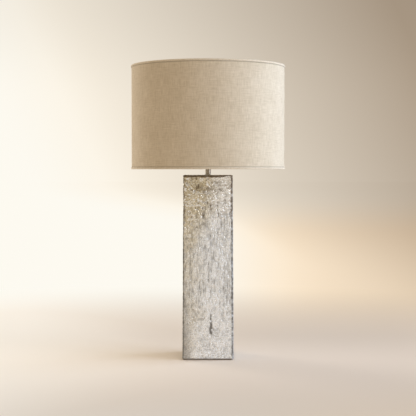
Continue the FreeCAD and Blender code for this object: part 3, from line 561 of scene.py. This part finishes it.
def pressed_felt():
    """Dark brown felt with loose fibres."""
    look = Finish("pressed_felt")
    spot = look.point()
    fibre = look.cloud(look.scaled(spot, (900.0, 300.0, 600.0)), 1.0, 4.0, 0.7, 1.5)
    clump = look.cloud(spot, 160.0, 3.0)
    tone = look.mix((0.20, 0.165, 0.125), (0.38, 0.32, 0.26), look.rise(fibre, 0.35, 0.7))
    tone = look.mix(tone, (0.16, 0.13, 0.10), look.rise(clump, 0.5, 0.75) * 0.6)
    look.set(Base_Color=tone, Roughness=0.95, Sheen_Weight=0.4, Sheen_Roughness=0.5)
    look.emboss(fibre * 0.7 + clump * 0.3, 0.6 * MM, 0.9)
    return look.material


def painted_steel(name, colour, chip):
    """Sprayed enamel with orange peel and a few rubbed spots."""
    look = Finish(name)
    spot = look.point()
    peel = look.cloud(spot, 700.0, 2.0)
    rub = look.rise(look.cloud(spot, 110.0, 4.0, 0.65), 0.60, 0.74)
    look.set(Base_Color=look.mix(colour, chip, rub * 0.5),
             Roughness=0.36 + rub * 0.25 + peel * 0.06,
             Coat_Weight=0.25, Coat_Roughness=0.2)
    look.emboss(peel, 0.06 * MM, 0.5)
    return look.material


def fibre_board():
    """Brown insulating card with short fibres."""
    look = Finish("fibre_board")
    spot = look.point()
    fibre = look.cloud(look.scaled(spot, (500.0, 500.0, 160.0)), 1.0, 4.0, 0.7)
    tone = look.mix((0.30, 0.20, 0.12), (0.52, 0.39, 0.27), look.rise(fibre, 0.3, 0.7))
    look.set(Base_Color=tone, Roughness=0.85)
    look.emboss(fibre, 0.15 * MM, 0.7)
    return look.material


# ---------------------------------------------------------------- mesh tools

def strip(rows, around=True, along=False):
    """Points and quads of a net of rows. Around joins each row's ends, along the first and last."""
    net = np.asarray(rows, float)
    tall, wide = net.shape[:2]
    row = np.arange(tall if along else tall - 1)[:, None]
    column = np.arange(wide if around else wide - 1)[None, :]
    above, beside = (row + 1) % tall, (column + 1) % wide
    this, over = row * wide, above * wide
    quads = [this + column, this + beside, over + beside, over + column]
    return net.reshape(-1, 3), np.stack(quads, axis=-1).reshape(-1, 4)


def add_piece(name, points, quads, body, finish, sharp=None):
    """A mesh in the frame that rides on a body, with its finish."""
    mesh = bpy.data.meshes.new(name)
    mesh.from_pydata(points.tolist(), [], quads.tolist())
    mesh.shade_smooth()
    if sharp is not None:
        mesh.set_sharp_from_angle(angle=sharp)
    mesh.materials.append(finish)
    piece = bpy.data.objects.new(name, mesh)
    bpy.context.scene.collection.objects.link(piece)
    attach(piece, body)
    return piece


def mend(piece):
    """Joins doubled points and turns all faces outwards."""
    work = bmesh.new()
    work.from_mesh(piece.data)
    bmesh.ops.remove_doubles(work, verts=work.verts, dist=0.00001)
    bmesh.ops.dissolve_degenerate(work, dist=0.000001, edges=work.edges)
    bmesh.ops.recalc_face_normals(work, faces=work.faces)
    work.to_mesh(piece.data)
    work.free()


def lathed(outline, count, ripple=None):
    """Rows of a turned shape. Ripple moves the radius by angle and height."""
    rows = []
    for radius, height in outline:
        row = []
        for step in range(count):
            angle = math.tau * step / count
            reach = radius + (ripple(angle, radius, height) if ripple else 0.0)
            row.append((reach * math.cos(angle), reach * math.sin(angle), height))
        rows.append(row)
    return rows


def square_ring(half, corner, side_points, corner_points):
    """Points round a square with rounded corners, from the front side's left end."""
    flat = half - corner
    ring = [(-flat + 2 * flat * step / side_points, -half) for step in range(side_points)]
    for step in range(corner_points):
        turn = math.pi / 2 * step / corner_points
        ring.append((flat + corner * math.sin(turn), -flat - corner * math.cos(turn)))
    ring = np.array(ring)
    rings = [ring]
    for _ in range(3):
        ring = np.stack([-ring[:, 1], ring[:, 0]], axis=1)
        rings.append(ring)
    return np.concatenate(rings)


def circle(radius, height, count):
    """Points of a level circle, from its right side."""
    turns = [math.tau * step / count for step in range(count)]
    return [(radius * math.cos(turn), radius * math.sin(turn), height) for turn in turns]


def smooth_step(value, low, high):
    """0 below low, 1 above high, and a smooth step between them, for arrays."""
    share = np.clip((value - low) / (high - low), 0, 1)
    return share * share * (3 - 2 * share)


# ---------------------------------------------------------------- column

def fold_height(points, rise, width):
    """Height of the crinkled skin, 0 in its creases and 1 on its folds, at each point."""
    noise.seed_set(SEED)
    heights = np.empty(len(points))
    scale = 1.0 / width
    shift = Vector((31.7, 12.1, 7.3))
    for index, (x, y, _) in enumerate(points):
        spot = Vector((x, y, rise[index])) * scale
        drift = noise.noise_vector(spot * 0.42) * 0.85
        fold = 1 - min(abs(noise.noise(spot + drift)) * 2.9, 1.0)
        vein = 1 - min(abs(noise.noise(spot * 1.9 + drift * 1.6 + shift)) * 2.5, 1.0)
        swell = 0.5 + noise.noise(spot * 0.33 - shift)
        heights[index] = 0.50 * fold + 0.27 * vein + 0.23 * swell
    return np.clip(heights, 0, 1)


def column_rows(settings):
    """Rows of the column's skin from the foot up, over the head, down the inside, and how many
    of them carry the relief."""
    low_half, wall = COLUMN[1].x, settings.wall
    edge, hole, sharp_corner = 3 * MM, 6.5 * MM, 1.2 * MM
    foot_corner, head_corner = 4 * MM, 2.7 * MM
    bend_points, edge_rings, head_rings = 5, 8, 36

    def level(half, corner, height):
        ring = square_ring(half, corner, settings.side_points, bend_points)
        return np.column_stack([ring, np.full(len(ring), height)])

    def eased(half, height, share):
        """A ring on its way from the square to the round hole in the head."""
        ring = level(half, sharp_corner, height)
        angle = np.arctan2(ring[:, 1], ring[:, 0])
        round_part = np.column_stack([hole * np.cos(angle), hole * np.sin(angle)])
        ring[:, :2] = ring[:, :2] * (1 - share) + round_part * share
        return ring

    def half_at(height):
        return low_half + (settings.head_half - low_half) * (height - FOOT) / (HEAD - FOOT)

    rows = []
    for step in range(settings.wall_rows):
        height = FOOT + (HEAD - edge - FOOT) * step / (settings.wall_rows - 1)
        share = (height - FOOT) / (HEAD - FOOT)
        corner = foot_corner + (head_corner - foot_corner) * share
        rows.append(level(half_at(height), corner, height))
    for step in range(1, edge_rings):
        turn = math.pi / 2 * step / edge_rings
        drawn_in = edge * (1 - math.cos(turn))
        rows.append(level(half_at(HEAD) - drawn_in, head_corner - drawn_in * 0.5,
                          HEAD - edge + edge * math.sin(turn)))
    for step in range(head_rings):
        rows.append(eased(half_at(HEAD) - edge, HEAD, step / (head_rings - 1)))
    dressed = len(rows)
    for share in (1.0, 0.6, 0.0):
        rows.append(eased(half_at(HEAD) - wall, HEAD - wall, share))
    for height in (0.36, 0.24, 0.12, FOOT):
        rows.append(level(half_at(height) - wall, sharp_corner, height))
    return np.array(rows), dressed


def stretched_height(height, streak):
    """Height that the folds are read at: it climbs slowly half way up, which draws them out."""
    levels = np.linspace(0, 0.5, 501)
    stretch = 1 + (streak - 1) * smooth_step(levels, 0.08, 0.15)
    stretch -= (streak - 1) * smooth_step(levels, 0.36, 0.42)
    climbed = np.concatenate([[0], np.cumsum(np.diff(levels) / stretch[1:])])
    return np.interp(height, levels, climbed)


def plain_places(skin):
    """0 where the foot, the neck's seat and the gland need plain glass, and 1 elsewhere."""
    height, reach = skin[..., 2], np.hypot(skin[..., 0], skin[..., 1])
    held = smooth_step(height, FOOT, FOOT + 6 * MM)
    held *= np.where(height > HEAD - 0.1 * MM, smooth_step(reach, 9 * MM, 15 * MM), 1.0)
    gland = np.hypot(skin[..., 0], height - GLAND_HEIGHT)
    held *= np.where(skin[..., 1] > 0, smooth_step(gland, 8.6 * MM, 13 * MM), 1.0)
    return held


def crinkled(rows, dressed, settings):
    """The rows with the relief pressed into them, and the height of the fold at every point."""
    skin = rows[:dressed]
    across = np.roll(skin, -1, axis=1) - np.roll(skin, 1, axis=1)
    upward = np.gradient(skin, axis=0)
    normal = np.cross(across, upward)
    normal /= np.maximum(np.linalg.norm(normal, axis=2, keepdims=True), 1e-12)
    points = skin.reshape(-1, 3)
    rise = stretched_height(points[:, 2], settings.streak)
    fold = fold_height(points, rise, settings.fold_width).reshape(skin.shape[:2])
    strength = 0.62 + 0.38 * smooth_step(skin[..., 2], 0.30, 0.42)
    push = (fold - 0.80) * settings.relief * strength * plain_places(skin)
    rows = rows.copy()
    rows[:dressed] += normal * push[..., None]
    marks = np.full(rows.shape[:2], 0.55)
    marks[:dressed] = fold
    return rows, marks.reshape(-1)


def bore_gland_hole(piece):
    """Cuts the round hole for the cord gland through the back wall."""
    count, radius = 48, 5.5 * MM
    drill = [[(x, depth, GLAND_HEIGHT + up) for x, up, _ in circle(radius, 0.0, count)]
             for depth in (GLAND[0].y - 4 * MM, GLAND[1].y + 6 * MM)]
    points, quads = strip(drill)
    mesh = bpy.data.meshes.new("gland_drill")
    ends = [list(range(count - 1, -1, -1)), list(range(count, count * 2))]
    mesh.from_pydata(points.tolist(), [], quads.tolist() + ends)
    cutter = bpy.data.objects.new("gland_drill", mesh)
    bpy.context.scene.collection.objects.link(cutter)
    mend(cutter)
    hole = piece.modifiers.new("gland_hole", "BOOLEAN")
    hole.object = cutter
    hole.solver = "EXACT"
    with bpy.context.temp_override(object=piece, active_object=piece):
        bpy.ops.object.modifier_apply(modifier=hole.name)
    bpy.data.objects.remove(cutter)


class LAMP_OT_glass_column(Operator):
    """Makes the crinkled, silvered glass column"""

    bl_idname = "lamp.glass_column"
    bl_label = "Glass column"

    def execute(self, context):
        settings = context.scene.lamp_column
        rows, dressed = column_rows(settings)
        rows, marks = crinkled(rows, dressed, settings)
        points, quads = strip(rows, along=True)
        glass = GlassSkin(settings).material
        column = add_piece("silvered_column", points, quads, "lamp", glass)
        fold = column.data.attributes.new("fold", "FLOAT", "POINT")
        fold.data.foreach_set("value", marks.astype(np.float32))
        bore_gland_hole(column)
        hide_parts("glass_column")
        return {"FINISHED"}


# ---------------------------------------------------------------- shade

def drum_rows(settings):
    """Rows of the linen drum, up its outside and down its inside, with a glued overlap behind."""
    outer, inner = DRUM[1].x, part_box("shade_backing")[1].x
    count, tall = 540, 90
    angle = math.tau * np.arange(count) / count + math.pi / 2
    behind = (np.arange(count) / count) * math.tau * outer
    lap = smooth_step(behind, 0.2 * MM, 1.6 * MM)
    lap *= 1 - smooth_step(behind, settings.overlap, settings.overlap * 1.9)

    def ring(reach, height):
        return np.column_stack([reach * np.cos(angle), reach * np.sin(angle),
                                np.full(count, height)])

    rows = []
    for step in range(tall):
        share = step / (tall - 1)
        height = DRUM[0].z + (DRUM[1].z - DRUM[0].z) * share
        sway = np.array([noise.noise(Vector((math.cos(a) * 4, math.sin(a) * 4, height * 22)))
                         for a in angle])
        taut = 4 * share * (1 - share)
        reach = outer - 0.12 * MM + sway * 0.22 * MM * taut + lap * 0.42 * MM
        rows.append(ring(reach, height))
    rows += [ring(inner, DRUM[1].z), ring(inner, DRUM[0].z)]
    return rows


def trim_outline(tip, way):
    """Section of a trim rolled over the wire ring: tip is its edge, way points inwards."""
    cloth = DRUM[1].x
    roll, half = TRIM[1].x - cloth, (TRIM[1].z - TRIM[0].z) / 2
    bow = (half * half + roll * roll) / (2 * roll)
    swing = math.asin(half / bow)
    section, steps = [], 12
    for step in range(steps + 1):
        turn = swing * (1 - 2 * step / steps)
        section.append((cloth + roll - bow * (1 - math.cos(turn)),
                        (half + bow * math.sin(turn)) / MM))
    inside = RING[1].x - 2 * RING_WIRE - 0.05 * MM
    section += [
        (cloth - 0.6 * MM, 0.0),
        (inside + 1.6 * MM, 0.0), (inside + 0.5 * MM, 0.10), (inside - 0.1 * MM, 0.50),
        (inside - 0.45 * MM, 1.3), (inside - 0.45 * MM, 3.4), (inside - 0.45 * MM, 5.35),
        (inside - 0.30 * MM, 5.6), (inside - 0.05 * MM, 5.4), (inside, 3.4), (inside, 1.5),
        (inside + 0.5 * MM, 0.75), (inside + 1.6 * MM, 0.52), (cloth - 0.8 * MM, 0.52),
        (cloth - 0.1 * MM, 0.60), (cloth + 0.02 * MM, 1.2)]
    return [(radius, tip + way * depth * MM) for radius, depth in section]


def puckered(angle, radius, height):
    """Small puckers of a band that was folded over by hand."""
    spot = Vector((math.cos(angle) * 26, math.sin(angle) * 26, height * 300))
    return (noise.noise(spot) - 0.35) * 0.16 * MM


class LAMP_OT_linen_shade(Operator):
    """Makes the linen drum, its folded trim bands and the brazed joints of its frame"""

    bl_idname = "lamp.linen_shade"
    bl_label = "Linen shade"

    def execute(self, context):
        settings = context.scene.lamp_shade
        linen = flax("slub_linen", settings, lightness=0.50, slant=0.0)
        points, quads = strip(drum_rows(settings), along=True)
        drum = add_piece("linen_drum", points, quads, "shade", linen, sharp=1.0)
        mend(drum)
        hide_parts("shade_linen")
        banding = flax("linen_band", settings, lightness=0.74, slant=0.55)
        for node, tip, way in (("trim_top", RIM, -1), ("trim_bottom", HEM, 1)):
            points, quads = strip(lathed(trim_outline(tip, way), 420, puckered), along=True)
            band = add_piece(f"{node}_band", points, quads, "shade", banding)
            mend(band)
            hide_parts(node)
        self.braze()
        return {"FINISHED"}

    def braze(self):
        """Small beads of braze where the spider's arms meet the top ring and the hub."""
        noise.seed_set(SEED)
        work = bmesh.new()
        ring = RING[1].x - RING_WIRE
        height = (RING[0].z + RING[1].z) / 2
        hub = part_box("spider_hub")
        for number in range(3):
            angle = math.pi / 2 + math.tau * number / 3
            for reach, level, size in ((ring - 2.0 * MM, height, 1.9 * MM),
                                       (hub[1].x, (hub[0].z + hub[1].z) / 2, 2.0 * MM)):
                place = Matrix.Translation((reach * math.cos(angle), reach * math.sin(angle), level))
                bmesh.ops.create_icosphere(work, subdivisions=3, radius=size, matrix=place)
        for vert in work.verts:
            vert.co += noise.noise_vector(vert.co * 420) * 0.28 * MM
        mesh = bpy.data.meshes.new("brazed_joints")
        work.to_mesh(mesh)
        work.free()
        mesh.shade_smooth()
        mesh.materials.append(NODES["spider_hub"].data.materials[0])
        joints = bpy.data.objects.new("brazed_joints", mesh)
        bpy.context.scene.collection.objects.link(joints)
        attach(joints, "shade")


# ---------------------------------------------------------------- fittings

def bulb_base_rows(pitch):
    """Rows of the bulb's threaded cap: outside with its thread, rim, and plain inside."""
    low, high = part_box("bulb_base")
    crest = high.x
    depth, steps, count = 0.85 * MM, 46, 72
    rows = []
    for step in range(steps + 1):
        height = low.z + (high.z - low.z) * step / steps
        row = []
        ends = min(1.0, (height - low.z) / (2.0 * MM), (high.z - height) / (3.4 * MM))
        for turn in range(count):
            angle = math.tau * turn / count
            wave = 0.5 - 0.5 * math.cos(math.tau * height / pitch - angle)
            neck = 0.0 if ends > 0 else depth * 0.3
            reach = crest - depth * wave * max(ends, 0.0) - neck
            row.append((reach * math.cos(angle), reach * math.sin(angle), height))
        rows.append(row)
    inner, nib, sole = crest - 1.3 * MM, 6.5 * MM, low.z + 0.8 * MM
    for radius, height in ((inner, high.z), (inner, sole), (nib, sole), (nib, low.z)):
        rows.append(circle(radius, height, count))
    return rows


class LAMP_OT_bulb_thread(Operator):
    """Makes the bulb's base with its rolled thread"""

    bl_idname = "lamp.bulb_thread"
    bl_label = "Bulb thread"

    def execute(self, context):
        metals = context.scene.lamp_metals
        spun = plated("spun_aluminium", (0.72, 0.72, 0.71), dull=0.25, polish=0.30,
                      brushed=(90, 90, 900))
        points, quads = strip(bulb_base_rows(metals.thread_pitch), along=True)
        base = add_piece("bulb_screw_base", points, quads, "bulb", spun, sharp=0.9)
        mend(base)
        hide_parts("bulb_base")
        return {"FINISHED"}


class LAMP_OT_fittings(Operator):
    """Gives the frame's own pieces their finish"""

    bl_idname = "lamp.fittings"
    bl_label = "Fittings"

    def execute(self, context):
        metals, shade = context.scene.lamp_metals, context.scene.lamp_shade
        nickel = plated("polished_nickel", metals.nickel, dull=0.35, polish=0.24,
                        brushed=(150, 150, 1400))
        # Painted shade: a darker copy of the nickel for the neck, which keeps its highlight below
        # white.
        shaded_satin = plated("satin_nickel", (0.44, 0.38, 0.30), dull=0.30, polish=0.42,
                       brushed=(150, 150, 1400))
        brass = plated("turned_brass", metals.brass, dull=0.45, polish=0.22,
                       brushed=(200, 200, 1200), dark=(0.30, 0.18, 0.07))
        zinc = plated("zinc_plate", metals.zinc, dull=0.35, polish=0.34, brushed=(500, 500, 500))
        enamel = painted_steel("ivory_enamel", (0.84, 0.82, 0.76), chip=(0.60, 0.56, 0.48))
        black = painted_steel("black_enamel", (0.16, 0.14, 0.12), chip=(0.26, 0.23, 0.20))
        rubber = moulded("black_rubber", (0.028, 0.027, 0.026), pale=(0.075, 0.072, 0.068),
                         roughness=0.62, grain=480.0, depth=0.12 * MM)
        clear = moulded("clear_rubber", (0.60, 0.57, 0.50), pale=(0.74, 0.72, 0.66),
                        roughness=0.35, grain=300.0, depth=0.06 * MM)
        resin = moulded("black_phenolic", (0.030, 0.024, 0.020), pale=(0.085, 0.068, 0.055),
                        roughness=0.24, grain=260.0, depth=0.05 * MM,
                        Coat_Weight=0.35, Coat_Roughness=0.12)
        tip = moulded("bulb_insulator", (0.035, 0.035, 0.045), pale=(0.30, 0.30, 0.31),
                      roughness=0.20, grain=350.0, depth=0.05 * MM)
        finishes = {
            "black_steel": black, "felt": pressed_felt(), "black_rubber": rubber,
            "clear_rubber": clear, "zinc_steel": zinc, "nickel": nickel, "brass": brass,
            "fibre_board": fibre_board(), "phenolic": resin, "opal_glass": opal_glass(),
            "bulb_tip": tip, "frame_wire": enamel, "shade_backing": stiff_liner(shade),
        }
        # The neck takes the darker, painted-shade copy of the nickel.
        NODES["neck_tube"].material_slots[0].material = shaded_satin
        for node in NODES.values():
            for slot in node.material_slots:
                plain = slot.material.name.split(".")[0]
                if plain in finishes:
                    slot.material = finishes[plain]
        return {"FINISHED"}


# ---------------------------------------------------------------- stage

# Name, place, point it faces, width, height, setting of its power, colour.
PANELS = (
    ("key_panel", (2.25, -0.10, 1.15), (0, 0, 0.52), 2.6, 2.3, "key_power", (0.58, 0.74, 1.0)),
    ("glint_panel_1", (1.75, -2.10, 0.95), (0, 0, 0.28), 0.30, 0.40, "glint_power",
     (0.92, 0.95, 1.0)),
    ("glint_panel_2", (0.95, -2.75, 1.75), (0, 0, 0.28), 0.30, 0.40, "glint_power",
     (0.92, 0.95, 1.0)),
    ("glint_panel_3", (2.45, -1.35, 0.35), (0, 0, 0.28), 0.30, 0.40, "glint_power",
     (0.92, 0.95, 1.0)),
    ("rim_panel", (-1.75, 1.45, 0.85), (0, 0, 0.55), 0.9, 1.5, "rim_power", (1.0, 0.97, 0.92)),
)
FLOOR_REACH = 40.0
FLOOR_RINGS = (0.001, 0.3, 0.6, 1.0, 1.6, 2.5, 4.0, 7.0, 14.0, FLOOR_REACH)


def panel(name, place, aim, width, height, power, colour):
    """A soft rectangular lamp that faces a point."""
    light = bpy.data.lights.new(name, "AREA")
    light.shape = "RECTANGLE"
    light.size = width
    light.size_y = height
    light.energy = power
    light.color = colour
    lamp = bpy.data.objects.new(name, light)
    bpy.context.scene.collection.objects.link(lamp)
    lamp.location = place
    lamp.rotation_euler = (Vector(aim) - Vector(place)).to_track_quat("-Z", "Y").to_euler()


def across(look, bright, dim, side, low, high):
    """A colour from a bright left to a dim right."""
    share = look.add("MapRange", values={"Value": side, "From Min": low, "From Max": high})
    return look.mix(bright, dim, share)


def backdrop(look, settings, side):
    """Colour of the backdrop: white on the far left, cream, and then dim towards the right."""
    tone = across(look, settings.wall_bright, settings.wall_dim, side, -0.10, 0.24)
    return look.mix(tone, settings.wall_white, look.rise(0 - side, 0.05, 0.18))


def seen_directly(look):
    """1 for rays from the camera, and for rays through glass or off a shiny surface."""
    rays = look.add("LightPath")
    outputs = rays.socket.node.outputs
    camera = Wire(look.tree, outputs["Is Camera Ray"])
    glossy = Wire(look.tree, outputs["Is Glossy Ray"])
    through = Wire(look.tree, outputs["Is Transmission Ray"])
    return camera.larger(glossy).larger(through), glossy


def floor_finish(settings):
    """A matt floor that takes the backdrop's colour far from the lamp, for rays that see it."""
    look = Finish("floor")
    spot = look.point()
    x, y, _ = look.split(spot)
    reach = (x * x + y * y) ** 0.5
    span = reach + settings.eye_distance
    side = x / span
    fall = settings.eye_height / span
    fall = fall - settings.eye_height / (FLOOR_REACH + settings.eye_distance)

    # Painted light: the floor is bright on the left and dim on the right.
    matt = across(look, settings.floor_bright, settings.floor_dim, side, -0.16, 0.16)
    matt = look.mix(matt, (0.5, 0.45, 0.4), look.cloud(spot, 3.0, 2.0) * 0.05)
    # Painted shade: the floor darkens in front of the lamp and behind it.
    in_front, behind = look.rise(0 - y, 0.0, 0.9), look.rise(y, -0.1, 0.4)
    matt = look.mix(matt, BLACK, (in_front * 0.30).larger(behind * 0.14))
    look.set(Base_Color=matt, Roughness=0.75, Specular_IOR_Level=0.25)

    lit = look.rise(fall, 0.0, side.larger(0.0) * 0.34 + 0.052)
    tone = backdrop(look, settings, side - lit * 0.165)
    warm = look.rise(fall, 0.01, 0.05) * look.rise(side, -0.03, 0.09)
    tone = look.mix(tone, settings.glow, warm, "MULTIPLY")
    painted = look.add("Emission", values={"Color": tone, "Strength": 1.0})
    seen, _ = seen_directly(look)
    distant, left = look.rise(reach, 0.3, 1.8), look.rise(0 - x, 0.0, 0.7)
    share = distant.larger(left * 0.55) * seen
    surface = Wire(look.tree, look.surface.outputs[0])
    both = look.add("MixShader", values={0: share, 1: surface, 2: painted})
    last = next(node for node in look.tree.nodes if node.type == "OUTPUT_MATERIAL")
    look.tree.links.new(both.socket, last.inputs["Surface"])
    return look.material


class LAMP_OT_stage(Operator):
    """Makes the room, the floor, the lamps and the camera"""

    bl_idname = "lamp.stage"
    bl_label = "Stage"

    def execute(self, context):
        settings = context.scene.lamp_stage
        self.room(context.scene, settings)
        self.lay_floor(settings)
        for name, place, aim, width, height, power, colour in PANELS:
            panel(name, place, aim, width, height, getattr(settings, power), colour)
        camera = bpy.data.cameras.new("camera")
        camera.lens = settings.lens
        camera.sensor_width = 36
        eye = bpy.data.objects.new("camera", camera)
        context.scene.collection.objects.link(eye)
        eye.location = (0, -settings.eye_distance, settings.eye_height)
        eye.rotation_euler = (math.pi / 2 - settings.tilt, 0, 0)
        context.scene.camera = eye
        context.scene.view_settings.view_transform = "Standard"
        return {"FINISHED"}

    def room(self, scene, settings):
        """Warm light from all sides, and a pale backdrop for rays that see it directly."""
        world = bpy.data.worlds.new("room")
        world.use_nodes = True
        scene.world = world
        look = Paint(world.node_tree)
        x, y, z = look.split(look.add("TexCoord", output="Generated"))
        tone = backdrop(look, settings, x + z * 0.5)
        tone = look.mix(tone, BLACK, look.rise(z, 0.06, 0.16) * 0.08)
        seen, glossy = seen_directly(look)
        front = look.rise(0 - y, 0.55, 0.95) * glossy
        tone = look.mix(tone, (0.15, 0.115, 0.08), front * 0.66)
        shown = look.add("Background", values={"Color": tone, "Strength": 1.0})
        light = look.add("Background", values={"Color": settings.room, "Strength": 1.0})
        both = look.add("MixShader", values={0: seen, 1: light, 2: shown})
        last = look.tree.nodes.new("ShaderNodeOutputWorld")
        look.tree.links.new(both.socket, last.inputs["Surface"])

    def lay_floor(self, settings):
        """A wide round floor that isn't part of the lamp."""
        points, quads = strip([circle(radius, 0.0, 96) for radius in FLOOR_RINGS])
        mesh = bpy.data.meshes.new("floor")
        mesh.from_pydata(points.tolist(), [], quads.tolist())
        mesh.materials.append(floor_finish(settings))
        floor = bpy.data.objects.new("floor", mesh)
        bpy.context.scene.collection.objects.link(floor)


# ---------------------------------------------------------------- add-on

OPERATORS = (
    LAMP_OT_fittings,
    LAMP_OT_glass_column,
    LAMP_OT_linen_shade,
    LAMP_OT_bulb_thread,
    LAMP_OT_stage,
)


class LAMP_PT_pieces(Panel):
    """Lists what makes the lamp"""

    bl_idname = "LAMP_PT_pieces"
    bl_label = "Silvered column lamp"
    bl_space_type = "VIEW_3D"
    bl_region_type = "UI"
    bl_category = "Lamp"

    def draw(self, context):
        for operator in OPERATORS:
            self.layout.operator(operator.bl_idname)
        for group in ("lamp_column", "lamp_shade", "lamp_metals", "lamp_stage"):
            settings = getattr(context.scene, group)
            box = self.layout.box()
            for name in settings.__annotations__:
                box.prop(settings, name)


GROUPS = {
    "lamp_column": ColumnSettings,
    "lamp_shade": ShadeSettings,
    "lamp_metals": MetalSettings,
    "lamp_stage": StageSettings,
}


def register():
    """Adds the operators, the panel and the settings."""
    for name, group in GROUPS.items():
        bpy.utils.register_class(group)
        setattr(bpy.types.Scene, name, PointerProperty(type=group))
    for part in (*OPERATORS, LAMP_PT_pieces):
        bpy.utils.register_class(part)


def unregister():
    """Removes them again."""
    for part in (LAMP_PT_pieces, *reversed(OPERATORS)):
        bpy.utils.unregister_class(part)
    for name, group in GROUPS.items():
        delattr(bpy.types.Scene, name)
        bpy.utils.unregister_class(group)


def main():
    """Makes the pieces and the stage."""
    register()
    bpy.ops.lamp.stage()
    bpy.ops.lamp.fittings()
    bpy.ops.lamp.glass_column()
    bpy.ops.lamp.linen_shade()
    bpy.ops.lamp.bulb_thread()


if __name__ == "__main__":
    main()
